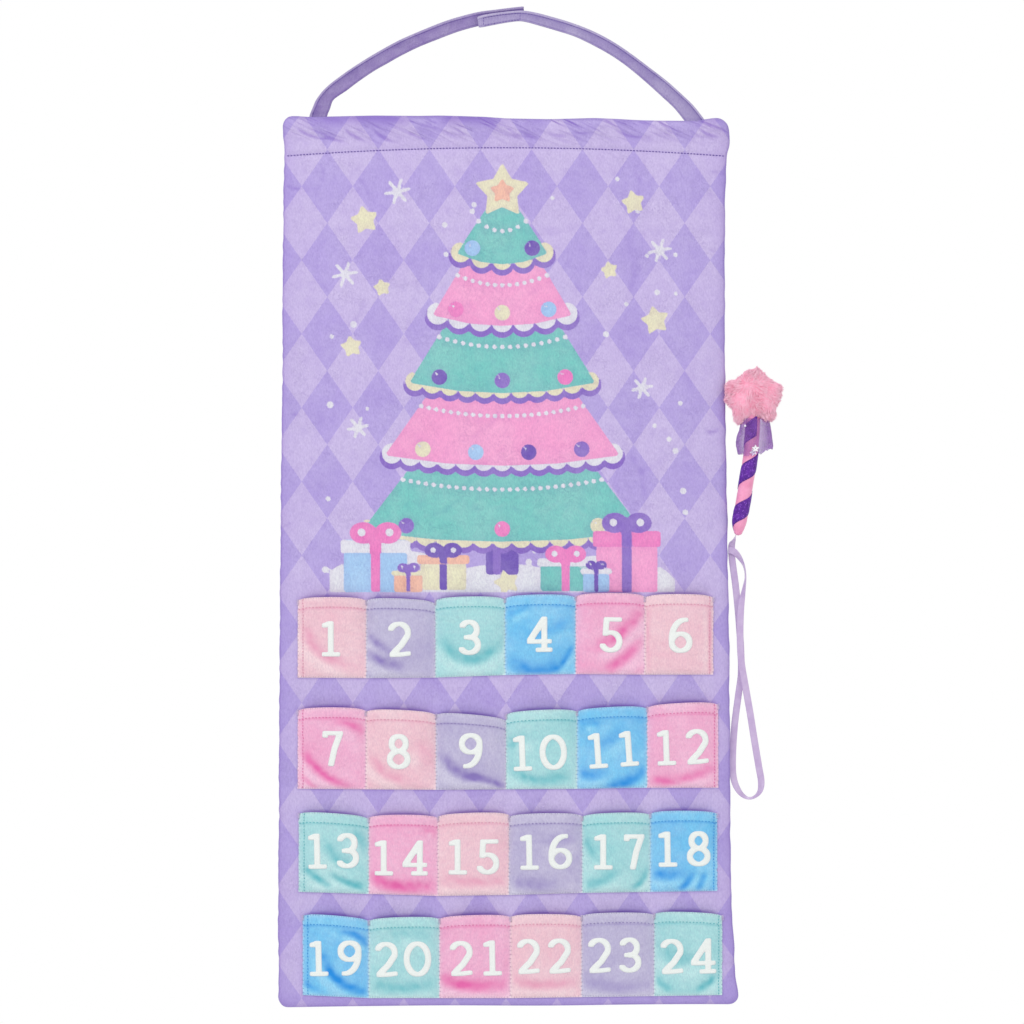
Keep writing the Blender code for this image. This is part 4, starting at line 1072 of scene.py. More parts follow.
def fold_share(depth, passes=10, full=0.35 * MM, limit=0.85):
    """How far each point lies below the mean of its surroundings, as a share from 0 to 1."""
    return np.clip((softened(depth, passes) - depth) / full, 0, limit)


def closed_pad(name, front, back, front_cloth, back_cloth):
    """A closed piece: a fine front, a back of every second row and column, a seam of five-sided faces."""
    rows, columns = front.shape[:2]
    count = rows * columns
    back_rows, back_columns = back.shape[:2]
    fine = np.arange(count).reshape(rows, columns)
    coarse = count + np.arange(back_rows * back_columns).reshape(back_rows, back_columns)
    rings = [np.concatenate([g[0, :-1], g[:-1, -1], g[-1, :0:-1], g[:0:-1, 0]]) for g in (fine, coarse)]
    ring, back_ring = rings
    seam = np.stack([ring[::2], ring[1::2], np.roll(ring, -2)[::2], np.roll(back_ring, -1), back_ring],
                    axis=1)
    front_faces = grid_faces(rows, columns)
    back_faces = grid_faces(back_rows, back_columns, count, True)
    faces = [list(face) for part in (front_faces, back_faces, seam) for face in part]
    pad = new_piece(name, np.concatenate([front.reshape(-1, 3), back.reshape(-1, 3)]), faces, front_cloth)
    pad.data.materials.append(back_cloth)
    slots = np.zeros(len(faces), np.int32)
    slots[len(front_faces) : len(front_faces) + len(back_faces)] = 1
    pad.data.polygons.foreach_set("material_index", slots)
    return point_outwards(pad)


def beside_pockets(x, z):
    """Distance outside the nearest pocket, less than 0 inside it, and the painted shade on the panel beside
    it.
    """
    nearest = np.full(np.broadcast(x, z).shape, 1.0)
    shade = np.zeros(nearest.shape)
    for row in range(ROWS):
        for column in range(COLUMNS):
            left, right = photo_x(SEAM_COLUMNS[row, column : column + 2])
            feet = photo_z(FOOT_ROWS[row, column : column + 2])
            share = np.clip((x - left) / (right - left), 0, 1)
            over = z - mouth_height(row, column, share)
            under = feet[0] + (feet[1] - feet[0]) * share - z
            distance = np.maximum.reduce([left - x, x - right, over, under])
            dark = np.where(over > -2 * MM, 0.30 + 0.65 * 4 * share * (1 - share),
                            np.where(under > -2 * MM, 0.5, 0.3))
            shade = np.where(distance < nearest, dark, shade)
            nearest = np.minimum(distance, nearest)
    return nearest, shade


clipped_z = np.clip(row_z[:, None], PANEL_BOTTOM, PANEL_TOP)
panel_back = panel_back_depth(panel_x, clipped_z)[::2, ::2]
front_points = np.stack([panel_x, -panel_front, panel_z], axis=-1)
back_points = np.stack([panel_x[::2, ::2], panel_back, panel_z[::2, ::2]], axis=-1)
panel = closed_pad("padded_panel", front_points, back_points, printed, plain_back)

left, right = panel_sides(row_z)
from_side = np.minimum(panel_x - left[:, None], right[:, None] - panel_x)
to_edge = np.minimum.reduce([from_side, row_z[:, None] - PANEL_BOTTOM + 0 * panel_x,
                             0.9 * drops[:, None] + 0 * panel_x])
to_pocket, pocket_shade = beside_pockets(panel_x, panel_z)
# Painted shade: the front darkens towards the sides, the foot and the pockets, and in the cloth's hollows
# except by the casing stitch; the back darkens in its hollows at half strength.
soft_shade = 0.34 * np.exp(-from_side / (8 * MM)) + 0.34 * np.exp(-(row_z[:, None] - PANEL_BOTTOM) / (7 * MM))
soft_shade += 0.13 * np.exp(-np.clip(to_pocket, 0, 1) / (6 * MM))
from_stitch = 1 - bell(row_z[:, None] - casing_stitch(panel_x), 6 * MM)
front_shade = np.clip(fold_share(panel_front, 10, 0.7 * MM, 0.6) * from_stitch + soft_shade, 0, 0.85)
fields = {
    "fold": (front_shade, fold_share(panel_back) * 0.5),
    "to_edge": (to_edge, 1),
    "to_pocket": (to_pocket, 1),
    "pocket_shade": (pocket_shade, 0),
}
fields |= {ink: (levels, FAR) for ink, levels in ink_fields.items()}
for title, (front_values, back_values) in fields.items():
    back_levels = np.broadcast_to(back_values, panel_back.shape)
    set_field(panel, title, np.concatenate([front_values.ravel(), back_levels.ravel()]))
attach(panel, "panel")
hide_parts("front_cover", "back_cover", "wadding")
triangles = sum(len(face.vertices) - 2 for face in panel.data.polygons)
print(f"padded panel of {triangles} triangles")

# %% [markdown]
# ## The pockets
# Each pocket is a square of velour in one of five colours, hemmed at the mouth and sewn down at both
# sides and the foot. It isn't a box: the cloth rises from its seams, stands a little open at the
# mouth, sinks towards the foot and is creased where the seams pull. One function gives the depth at
# any place on any pocket, so the numbers and stitches can follow the cloth.

# %% Pocket depth
# A pocket's width, half width inside its seams and height, in mm.
POCKET_WIDE, POCKET_HALF, POCKET_DOWN = 64, 31, 73
POCKET_STAND = 0.35 * MM
MOUTH_OPEN = 7.4 * MM
MIDDLE_OPEN = 4.4 * MM
FOOT_OPEN = 2.1 * MM
HEM_HEIGHT = 10.0 * MM
HEM_THICK = 0.4 * MM
CLOTH_THICK = 1.3 * MM
CREASE_DEEP = 1.15 * MM


def curve_through(points, steps=61):
    """Points on the even curve through three places, and the share of the way to each."""
    share = np.linspace(0, 1, steps)
    t = share[:, None]
    first, middle, last = (np.array(point, float) for point in points)
    return first * (2 * t - 1) * (t - 1) + middle * 4 * t * (1 - t) + last * t * (2 * t - 1), share


def to_curve(x, z, points):
    """Distance to a curve, more than 0 on its upper side, and the share along it of the nearest place."""
    curve, share = curve_through(points)
    course = np.gradient(curve, axis=0)
    from_x, from_z = x[..., None] - curve[:, 0], z[..., None] - curve[:, 1]
    nearest = np.argmin(from_x**2 + from_z**2, axis=-1)
    chosen = nearest[..., None]
    near_x = np.take_along_axis(from_x, chosen, -1)[..., 0]
    near_z = np.take_along_axis(from_z, chosen, -1)[..., 0]
    side = np.sign(course[nearest, 0] * near_z - course[nearest, 1] * near_x)
    return np.hypot(near_x, near_z) * side, share[nearest]


class Pocket:
    """Where one pocket is sewn, and the creases in its cloth."""

    def __init__(self, number):
        self.number = number
        self.row, self.column = divmod(number - 1, COLUMNS)
        self.mouths = photo_z(MOUTH_ROWS[self.row, self.column])
        self.feet = photo_z(FOOT_ROWS[self.row, self.column : self.column + 2])
        self.lean = np.random.default_rng(100 + number).uniform(-0.25, 0.25)
        self.creases = [
            ([(photo_x(column), photo_z(row)) for column, row in places], wide * PIXEL, deep)
            for *places, wide, deep in POCKET_CREASES[number]
        ]

    def seams(self, z):
        """Both side seams at a height: the hand-sewn zigzag is the same for the pockets beside it."""
        ends = []
        for column in (self.column, self.column + 1):
            zigzag = drift(z, 0 * z, 9 * MM, 2.8 * MM, 10, 500 + 10 * self.row + column) * 0.3 * MM
            ends.append(photo_x(SEAM_COLUMNS[self.row, column]) + zigzag)
        return ends

    def place(self, u, v):
        """Right and height of a point u across, -1 to 1, and v down from the mouth, 0 to 1."""
        share = (np.asarray(u, float) + 1) / 2
        mouth = mouth_height(self.row, self.column, share)
        foot = self.feet[0] + (self.feet[1] - self.feet[0]) * share
        z = mouth + (foot - mouth) * v
        left, right = self.seams(z)
        return left + (right - left) * share, z

    def across(self, x, z):
        """Share of the way across and down the pocket, both from 0 to 1, and the foot's height."""
        left, right = self.seams(z)
        share = np.clip((x - left) / (right - left), 0, 1)
        mouth = mouth_height(self.row, self.column, share)
        foot = self.feet[0] + (self.feet[1] - self.feet[0]) * share
        return share, mouth, foot

    def creased(self, x, z):
        """The main creases' grooves, and a tone of painted shade along them and painted highlight beside
        them.
        """
        groove, tone = np.zeros(np.shape(x)), np.zeros(np.shape(x))
        for points, wide, deep in self.creases:
            away, along = to_curve(x, z, points)
            ending = (np.clip(4 * along * (1 - along), 0.02, 1)) ** 0.4
            ending = ending * (1 + 0.3 * drift(x, z, 26 * MM, 7 * MM, 10, 700 + self.number))
            groove += deep * ending * (bell(away, wide) - 0.4 * bell(away + 1.5 * wide, wide))
            tone += deep * ending * (bell(away - 0.15 * wide, wide) - 0.6 * bell(away + 1.7 * wide, wide))
        return groove, tone

    def depth(self, x, z):
        """How far the cloth stands before the panel: a mouth's arc sinking to a low roll at the foot."""
        x, z = np.broadcast_arrays(np.asarray(x, float), np.asarray(z, float))
        share, mouth, foot = self.across(x, z)
        u = 2 * share - 1
        v = np.clip((mouth - z) / (mouth - foot), 0, 1)
        full = np.interp(v, (0, 0.16, 0.55, 1), (MOUTH_OPEN, MOUTH_OPEN * 0.88, MIDDLE_OPEN, FOOT_OPEN))
        arc = np.clip(1 - np.abs(u) ** (3.2 + 1.6 * v), 0, 1)
        end = 1 - (1 - np.clip((z - foot) / (6 * MM), 0, 1)) ** 2
        stretched = 1 + self.lean * u * (1 - v)
        soft = drift(x, z, 34 * MM, 15 * MM, 10, 300 + self.number) * 0.26 * MM
        soft = soft + drift(x, z, 8 * MM, 3.6 * MM, 10, 400 + self.number) * 0.05 * MM
        below = mouth - z - HEM_HEIGHT
        calm = np.clip(below / (5 * MM), 0.25, 1)
        soft = soft - self.creased(x, z)[0] * CREASE_DEEP
        hem = HEM_THICK * (1 / (1 + np.exp(below / (0.35 * MM))))
        groove = 0.4 * MM * bell(below + 1.2 * MM, 0.8 * MM)
        pull = np.sin(x / (0.55 * MM)) * 0.05 * MM * np.exp(-np.abs(below + 1.2 * MM) / (2.4 * MM))
        return POCKET_STAND + (full * stretched + soft * calm) * arc * end + (hem - groove + pull) * arc


pockets = {number: Pocket(number) for number in range(1, ROWS * COLUMNS + 1)}

# %% Pocket cloth
# The pockets cut from each fabric, then its colour and the darker colour of its painted shade, 0 to 255.
FABRIC_OF = {
    "light_pink": (1, 6, 8, 15, 22), "lavender": (2, 9, 16, 23), "aqua": (3, 10, 13, 17, 20, 24),
    "sky_blue": (4, 11, 18, 19), "orchid_pink": (5, 7, 12, 14, 21),
}
FABRIC_COLOURS = {
    "light_pink": ((249, 213, 219), (230, 148, 182)), "lavender": ((203, 198, 225), (134, 116, 186)),
    "aqua": ((184, 234, 233), (80, 180, 192)), "sky_blue": ((130, 214, 250), (22, 140, 226)),
    "orchid_pink": ((251, 193, 221), (231, 100, 170)),
}
pocket_fabric = {number: fabric for fabric, numbers in FABRIC_OF.items() for number in numbers}
pocket_velour = {name: velour(f"{name}_velour", *pair, 1.2, 0.3) for name, pair in FABRIC_COLOURS.items()}
across_share = np.sin(np.linspace(-1, 1, 43) * math.pi / 2) * 0.55 + np.linspace(-1, 1, 43) * 0.45
down_share = np.concatenate([[0, 0.006, 0.018, 0.036], np.linspace(0.055, 0.945, 48), [0.965, 0.985, 1.0]])
LIP_ROUND = 0.8 * MM

for number, pocket in pockets.items():
    u, v = np.meshgrid(across_share, down_share)
    x, z = pocket.place(u, v)
    outer_depth = pocket.depth(x, z)
    down = v * POCKET_DOWN
    lip = np.exp(-down * MM / LIP_ROUND)
    outer_y = -(FRONT_DEPTH + outer_depth - lip * 0.5 * MM * (1 - u**4))
    inner_depth = np.maximum(outer_depth - CLOTH_THICK - HEM_THICK * np.exp(-v * 8), 0.08 * MM)
    outer = np.stack([x, outer_y, z - 0.35 * MM * (1 - lip)], axis=-1)
    middle = (x[:, :1] + x[:, -1:]) / 2
    inner = np.stack([x * 0.96 + middle * 0.04, -(FRONT_DEPTH + inner_depth), z], axis=-1)
    piece = closed_sheet(f"pocket_{number:02d}_cloth", outer, inner, pocket_velour[pocket_fabric[number]])
    piece.data.set_sharp_from_angle(angle=math.radians(55))
    # Painted shade and highlight. The fold number is a base with random tone, shade along the main creases
    # and in the hem's stitched groove, less on the hem band, and heavy shade inside the pocket. The pale
    # number is highlight along the seams, foot and mouth, standing in for sheen and fuzzy fibre ends, and on
    # the creases' lit sides.
    tone = pocket.creased(x, z)[1] * 0.95 * np.clip((down - 9) / 5, 0.1, 1)
    lean = drift(x, z, 90 * MM, 30 * MM, 8, 600 + number) * 0.08
    lean = lean + drift(x, z, 14 * MM, 4 * MM, 14, 630 + number) * 0.06
    hem = 0.08 * (down < 9.6)
    outer_shade_and_tone = np.clip(0.20 + lean + tone - hem + 0.45 * bell(down - 9.9, 0.7), 0, 0.95)
    to_side, to_foot = (1 - np.abs(u)) * POCKET_HALF, (1 - v) * POCKET_DOWN
    pale = 0.75 * np.exp(-to_side / 1.0) + 0.7 * np.exp(-to_foot / 1.1) + 0.55 * np.exp(-down / 1.2)
    pale += 0.45 * np.clip(-tone, 0, 1)
    set_field(piece, "fold", np.stack([outer_shade_and_tone, np.full(u.shape, 0.8)]))
    set_field(piece, "pale", np.stack([np.clip(pale, 0, 0.85), np.zeros(u.shape)]))
    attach(piece, "panel")
    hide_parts(f"pocket_{number:02d}")
print(len(pockets), "pockets")

# %% [markdown]
# ## The numbers
# Plain numerals 1 to 24 are raised in soft white on the pockets. Each numeral is a set of pen
# strokes, and a point's height comes from its distance to the nearest stroke: flat on top, rounded
# at the rim. The mesh is a fine grid of squares cut down to those inside the outline, whose border
# points are then slid onto the outline itself, so the rim is smooth at any size.

# %% Numeral strokes
NUMERAL_HEIGHT = 34.2 * MM
PEN_WIDE, PEN_TALL = 2.8 * MM, 2.1 * MM
NUMERAL_STRETCH = 1.06
NUMERAL_RAISE = 0.75 * MM
NUMERAL_RIM = 0.9 * MM
NUMERAL_CELL = 0.8 * MM


def bow(x, z, wide, high, start, stop, steps=14):
    """Points on an oval's arc round (x, z), between two angles in degrees."""
    angle = np.radians(np.linspace(start, stop, steps))
    return [(x + wide * a, z + high * b) for a, b in zip(np.cos(angle), np.sin(angle))]


# Strokes of each numeral in shares of its height: right of its middle and up from its foot.
NUMERALS = {
    "0": [bow(0, 0.5, 0.272, 0.415, 90, 450, 40)],
    "1": [[(-0.15, 0.86), (-0.02, 0.915)], [(0.0, 0.915), (0.0, 0.085)], [(-0.155, 0.085), (0.165, 0.085)]],
    "2": [bow(-0.01, 0.675, 0.225, 0.24, 152, -20, 20) + [(0.04, 0.34), (-0.10, 0.20), (-0.185, 0.10)],
          [(-0.185, 0.085), (0.0, 0.09), (0.205, 0.115)]],
    "3": [bow(-0.03, 0.70, 0.195, 0.215, 148, -82, 20), bow(-0.03, 0.30, 0.225, 0.215, 86, -146, 22),
          [(-0.09, 0.50), (0.03, 0.50)]],
    "4": [[(0.135, 0.915), (0.125, 0.085)], [(0.12, 0.90), (-0.235, 0.34)], [(-0.235, 0.31), (0.24, 0.31)],
          [(-0.02, 0.085), (0.255, 0.085)]],
    "5": [[(0.175, 0.915), (-0.14, 0.915)], [(-0.14, 0.90), (-0.16, 0.53)],
          [(-0.155, 0.545)] + bow(-0.03, 0.325, 0.225, 0.24, 108, -150, 24)],
    "6": [bow(0.12, 0.38, 0.345, 0.535, 88, 178, 18), bow(0.0, 0.315, 0.225, 0.23, 0, 360, 30)],
    "7": [[(-0.185, 0.915), (0.185, 0.915)], [(0.18, 0.90), (0.05, 0.50), (-0.03, 0.085)],
          [(-0.185, 0.915), (-0.19, 0.85)]],
    "8": [bow(0, 0.715, 0.18, 0.20, 90, 450, 28), bow(0, 0.295, 0.225, 0.21, 90, 450, 32)],
    "9": [bow(-0.12, 0.62, 0.345, 0.535, -92, -2, 18), bow(0.0, 0.685, 0.225, 0.23, 0, 360, 30)],
}
NUMERAL_SPACING = 0.83
# Middle of each number in the photograph's pixels, and its climb to the right in degrees.
NUMBER_PLACES = (
    (331.5, 638.5, 0), (400, 639, 1), (470, 637, 0), (539.5, 634, 1), (611, 634.5, -1), (680, 635, 1),
    (333, 748, -1), (399, 751, 0), (471, 750, 1), (540, 752, 2), (613, 749, 4), (682.5, 746.5, 2),
    (334, 850, 1), (401.5, 857, 0), (474, 856, 0), (546, 851, 1), (619, 851, 0), (684, 848, 1),
    (336, 957, 1), (403.5, 958, 1), (476, 957, 1), (544, 955, 1), (614.5, 954, 1), (688, 955, 1),
)


def number_strokes(number):
    """The strokes of a number's one or two numerals, in metres about its middle."""
    text = str(number)
    strokes = []
    for place, numeral in enumerate(text):
        start = (place - (len(text) - 1) / 2) * NUMERAL_SPACING
        for stroke in NUMERALS[numeral]:
            shares = np.array([(x * NUMERAL_STRETCH + start, z - 0.5) for x, z in stroke])
            strokes.append(shares * NUMERAL_HEIGHT)
    right = np.concatenate(strokes)[:, 0]
    middle = (right.min() + right.max()) / 2
    return [stroke - (middle, 0) for stroke in strokes]


def pen_path(strokes):
    """The pen's places along every stroke, evenly and closely spaced."""
    places = []
    for stroke in strokes:
        reach = np.concatenate([[0], np.cumsum(np.hypot(*np.diff(stroke, axis=0).T))])
        even = np.linspace(0, reach[-1], max(2, int(reach[-1] / (0.45 * MM))))
        places.append(np.stack([np.interp(even, reach, stroke[:, axis]) for axis in (0, 1)], axis=1))
    return np.concatenate(places)


def pen_level(x, z, path):
    """Less than 0 where an upright pen with squarish corners, wide and low, marks the cloth."""
    wide = ((x[..., None] - path[:, 0]) / PEN_WIDE) ** 2
    tall = ((z[..., None] - path[:, 1]) / PEN_TALL) ** 2
    return ((wide * wide + tall * tall).min(axis=-1) ** 0.25 - 1) * (PEN_WIDE + PEN_TALL) / 2

# %% Numerals
def numeral_patch(strokes, half_width):
    """Cells inside the strokes' outline: their corners, each corner's distance inside, and faces."""
    path = pen_path(strokes)
    side = np.arange(-half_width, half_width + NUMERAL_CELL, NUMERAL_CELL)
    rise = np.arange(-NUMERAL_HEIGHT * 0.58, NUMERAL_HEIGHT * 0.58, NUMERAL_CELL)
    x, z = np.meshgrid(side, rise)
    level = pen_level(x, z, path)
    middle = (level[:-1, :-1] + level[1:, :-1] + level[1:, 1:] + level[:-1, 1:]) / 4
    corner = np.arange(x.size).reshape(x.shape)
    quads = np.stack([corner[:-1, :-1], corner[:-1, 1:], corner[1:, 1:], corner[1:, :-1]],
                     axis=-1)[middle < 0]
    edges = np.concatenate([np.stack([quads[:, k], quads[:, (k + 1) % 4]], axis=1) for k in range(4)])
    forward = {(int(a), int(b)) for a, b in edges}
    border = np.array([edge for edge in forward if (edge[1], edge[0]) not in forward])
    x, z, level = x.ravel(), z.ravel(), np.minimum(level.ravel(), 0)
    rim = np.unique(border)
    nudge = 0.05 * MM
    for _ in range(3):
        rim_x, rim_z = x[rim], z[rim]
        step_x = (pen_level(rim_x + nudge, rim_z, path) - pen_level(rim_x - nudge, rim_z, path)) / (2 * nudge)
        step_z = (pen_level(rim_x, rim_z + nudge, path) - pen_level(rim_x, rim_z - nudge, path)) / (2 * nudge)
        pull = pen_level(rim_x, rim_z, path) / np.maximum(np.hypot(step_x, step_z), 0.4) ** 2
        x[rim] -= pull * step_x
        z[rim] -= pull * step_z
    level[rim] = 0
    used = np.unique(quads)
    renumber = np.full(x.size, -1)
    renumber[used] = np.arange(len(used))
    return x[used], z[used], -level[used], renumber[quads], renumber[border]


number_velour, tree, shader = new_material("number_flock", Sheen_Weight=0.2, Specular_IOR_Level=0.25)
place = object_place(tree)
# Greyer in a thin band at the rim: painted shade where the flock rolls down to the pocket.
inner = ramp(tree, field(tree, "inset"), 0.0, 0.3 * MM)
grain = ramp(tree, noise(tree, place, 1500, 2.0), 0.3, 0.7)
body = between_tones(tree, grain, (232, 238, 235), (247, 250, 247))
paint(tree, shader, mix_colour(tree, inner, cloth_colour(222, 220, 226), body),
      times_plus(tree, grain, 0.1, 0.75))
add_bump(tree, shader, grain, 0.25 * MM, 0.5)

for number, (column, row, climb) in enumerate(NUMBER_PLACES, start=1):
    x, z, inset, quads, border = numeral_patch(number_strokes(number),
                                               (0.42 if number < 10 else 0.90) * NUMERAL_HEIGHT)
    turn = math.radians(climb)
    across = photo_x(column) + x * math.cos(turn) - z * math.sin(turn)
    upward = photo_z(row) + x * math.sin(turn) + z * math.cos(turn)
    raised = NUMERAL_RAISE * (1 - (1 - np.clip(inset / NUMERAL_RIM, 0, 1)) ** 3)
    cloth_y = -(FRONT_DEPTH + pockets[number].depth(across, upward))
    top = np.stack([across, cloth_y - raised - 0.12 * MM, upward], axis=1)
    base = np.stack([across, cloth_y + 0.35 * MM, upward], axis=1)
    count = len(top)
    walls = np.stack([border[:, 1], border[:, 0], border[:, 0] + count, border[:, 1] + count], axis=1)
    faces = np.concatenate([quads, quads[:, ::-1] + count, walls])
    numeral = new_piece(f"number_{number:02d}", np.concatenate([top, base]), faces, number_velour)
    point_outwards(numeral)
    set_field(numeral, "inset", np.concatenate([inset, inset]))
    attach(numeral, "panel")
print("numbers laid on", len(NUMBER_PLACES), "pockets")

# %% [markdown]
# ## Stitches
# Sewing shows as short thread dashes that dip into the cloth at both ends. One small bead of a few
# faces, long along its line, is copied to every stitch at once: its points are a template turned to
# each line's direction. Hems and the end pockets' sides are sewn in the pocket's own colour; the casing,
# straps and closure in purple.

# %% Stitch maker
THREAD_SIDES = 5
bead_along = np.array((-1, -0.62, 0, 0.62, 1))
bead_round = np.array((0.12, 0.82, 1, 0.82, 0.12))
turn = np.linspace(0, 2 * math.pi, THREAD_SIDES, endpoint=False)
bead = np.stack(
    [
        np.repeat(bead_along, THREAD_SIDES),
        np.outer(bead_round, np.cos(turn)).ravel(),
        np.outer(bead_round, np.sin(turn)).ravel(),
    ],
    axis=1,
)
ring = np.arange(THREAD_SIDES)
wrapped = np.arange(5)[:, None] * THREAD_SIDES + np.append(ring, 0)[None, :]
bead_faces = np.stack([wrapped[:-1, :-1], wrapped[1:, :-1], wrapped[1:, 1:], wrapped[:-1, 1:]],
                      axis=-1).reshape(-1, 4)
bead_ends = [list(ring), list((4 * THREAD_SIDES + ring)[::-1])]


def sew(name, places, headings, fronts, length, thread, material, body, rise=0.2):
    """Dashes of thread at the places, laid along their headings and standing out towards the fronts."""
    along = unit(np.asarray(headings, float))
    out = unit(np.asarray(fronts, float))
    across = unit(np.cross(along, out))
    out = np.cross(across, along)
    size = np.array((length / 2, thread / 2, thread / 2))
    local = bead * size
    points = np.asarray(places, float)[:, None] + out[:, None] * (rise * thread)
    for way, share in ((along, local[None, :, :1]), (across, local[None, :, 1:2]), (out, local[None, :, 2:])):
        points = points + way[:, None] * share
    shift = np.arange(len(points))[:, None, None] * len(bead)
    faces = [list(face) for face in (bead_faces[None] + shift).reshape(-1, 4)]
    for ends in bead_ends:
        faces += [list(face) for face in (np.array(ends)[None, None] + shift).reshape(-1, THREAD_SIDES)]
    piece = point_outwards(new_piece(name, points, faces, material))
    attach(piece, body)
    return piece


def thread_material(name, colour):
    """Sewing thread: a fine two-ply twist over a colour, a little glossier than the cloth."""
    made, tree, shader = new_material(name, Sheen_Weight=0.15, Specular_IOR_Level=0.4)
    place = object_place(tree)
    turned = add_node(tree, "ShaderNodeMapping", {"Vector": place, "Rotation": (0.0, 0.6, 0.0)}).outputs[0]
    ply = add_node(tree, "ShaderNodeTexWave", {"Vector": turned, "Scale": 900.0,
                                               "Distortion": 1.5}).outputs["Fac"]
    # The twist is painted: lighter on each ply's crest as highlight, darker between plies as shade.
    lit = cloth_colour(*(min(255, channel * 1.06) for channel in colour))
    paint(tree, shader, mix_colour(tree, ply, cloth_colour(*(c * 0.86 for c in colour)), lit),
          times_plus(tree, ply, 0.15, 0.45))
    add_bump(tree, shader, ply, 0.08 * MM, 0.6)
    return made


def normals_of(depth, x, z):
    """The way the cloth faces: from how its depth changes a little to the right and up."""
    step = 0.5 * MM
    slope_x = (depth(x + step, z) - depth(x - step, z)) / (2 * step)
    slope_z = (depth(x, z + step) - depth(x, z - step)) / (2 * step)
    return unit(np.stack([-slope_x, -np.ones_like(x), -slope_z], axis=1))


# %% Casing stitches
purple_thread = thread_material("purple_thread", (108, 80, 172))
STITCHES = 138
stitch_x = np.linspace(-198, 200, STITCHES) * MM
stitch_z = casing_stitch(stitch_x)
places = np.stack([stitch_x, -panel_depth(stitch_x, stitch_z), stitch_z], axis=1)
slope = -2 * CASING_STITCH_SAG * stitch_x / HALF_PANEL**2
headings = np.stack([np.ones(STITCHES), np.zeros(STITCHES), slope], axis=1)
sew(
    "casing_stitches", places, headings, normals_of(panel_depth, stitch_x, stitch_z), 2.1 * MM, 1.05 * MM,
    purple_thread, "panel", 0.35,
)
back_places = np.stack([stitch_x, panel_back_depth(stitch_x, stitch_z), stitch_z], axis=1)
sew("casing_back_stitches", back_places, headings, (0, 1, 0), 2.0 * MM, 0.8 * MM, purple_thread, "panel")

# %% Pocket stitches
pocket_thread = {
    name: thread_material(f"{name}_thread", [0.25 * pale + 0.75 * deep for pale, deep in zip(*pair)])
    for name, pair in FABRIC_COLOURS.items()
}
HEM_STITCH_DROP = 9.0 * MM
STITCH_PITCH = 2.9 * MM
hem_rows = {name: ([], [], []) for name in FABRIC_COLOURS}
for number, pocket in pockets.items():
    lists = hem_rows[pocket_fabric[number]]
    u = np.linspace(-0.95, 0.95, int(60 * MM / STITCH_PITCH))
    lines = [pocket.place(u, HEM_STITCH_DROP / (pocket.mouths.mean() - pocket.feet.mean()))]
    if number % COLUMNS < 2:
        side = -0.84 if number % COLUMNS == 1 else 0.89
        lines.append(pocket.place(side * np.ones(26), np.linspace(0.02, 0.98, 26)))
    for across, upward in lines:
        places = np.stack([across, -(FRONT_DEPTH + pocket.depth(across, upward)), upward], axis=1)
        lists[0].append(places)
        lists[1].append(np.gradient(places, axis=0))
        lists[2].append(normals_of(pocket.depth, across, upward))
for name, (places, headings, fronts) in hem_rows.items():
    places, headings, fronts = (np.concatenate(part) for part in (places, headings, fronts))
    sew(f"{name}_topstitch", places, headings, fronts, 1.9 * MM, 0.85 * MM, pocket_thread[name], "panel",
        0.35)

# %% Seam threads
# Short threads cross the sewn edges of each pocket, every one at a slant of its own.
EDGE_THREAD_PITCH = 2.3 * MM
draw = np.random.default_rng(90)
edge_rows = {name: ([], []) for name in FABRIC_COLOURS}
for number, pocket in pockets.items():
    down = np.arange(0.01, 1.0, 1.6 * EDGE_THREAD_PITCH / (POCKET_DOWN * MM))
    over = np.arange(-0.97, 0.97, 2 * EDGE_THREAD_PITCH / (POCKET_WIDE * MM))
    for u, v, upright in ((-0.985, down, 0), (0.985, down, 0), (over, 0.992, 1), (over, 0.004, 1)):
        u, v = np.broadcast_arrays(np.asarray(u, float), np.asarray(v, float))
        across, upward = pocket.place(u, v)
        across = across + draw.normal(0, 0.25 * MM, across.shape)
        lifted = FRONT_DEPTH + pocket.depth(across, upward) + 0.3 * MM
        slant = draw.uniform(-0.75, 0.75, across.shape) + upright * math.pi / 2
        edge_rows[pocket_fabric[number]][0].append(np.stack([across, -lifted, upward], axis=1))
        edge_rows[pocket_fabric[number]][1].append(
            np.stack([np.cos(slant), 0 * slant, np.sin(slant)], axis=1))
for name, (places, headings) in edge_rows.items():
    places, headings = np.concatenate(places), np.concatenate(headings)
    colour = [0.74 * pale + 0.26 * grey for pale, grey in zip(FABRIC_COLOURS[name][0], (104, 92, 148))]
    sew(f"{name}_edge_threads", places, headings, (0, -1, 0), 1.6 * MM, 0.5 * MM,
        thread_material(f"{name}_edge_thread", colour), "panel")

# %% Bar tacks
TACK_BARS = 5
tack_places, tack_headings = [], []
for row in range(ROWS):
    for column in range(COLUMNS + 1):
        top = mouth_height(row, min(column, COLUMNS - 1), 1.0 if column == COLUMNS else 0.0)
        x = photo_x(SEAM_COLUMNS[row, column])
        bars = np.linspace(0.8, -3.4, TACK_BARS) * MM
        ahead = np.full(TACK_BARS, -(FRONT_DEPTH + 1.3 * MM))
        tack_places.append(np.stack([np.full(TACK_BARS, x), ahead, top + bars], axis=1))
        tack_headings.append(np.tile((1, 0, 0.25), (TACK_BARS, 1)))
tack_places, tack_headings = np.concatenate(tack_places), np.concatenate(tack_headings)
tack_thread = thread_material("tack_thread", (222, 206, 236))
sew("bar_tacks", tack_places, tack_headings, (0, -1, 0), 3.0 * MM, 0.6 * MM, tack_thread, "panel")
print(len(tack_places), "tack stitches")

# %% [markdown]
# ## The strap and its closure
# Two narrow tubes of velour are sewn into the top seam. The left one passes behind the right at the
# crown, where strips of hook-and-loop tape hold them. Each is one rounded section carried along the
# photograph's own bend.

# %% Straps
STRAP_HALF_DEPTH = 1.25 * MM
LAP_SHIFT = 2.55 * MM
LEFT_LAP_X, RIGHT_LAP_X = -37 * MM, 20 * MM
STRAP_STITCH_INSET = 2.7 * MM
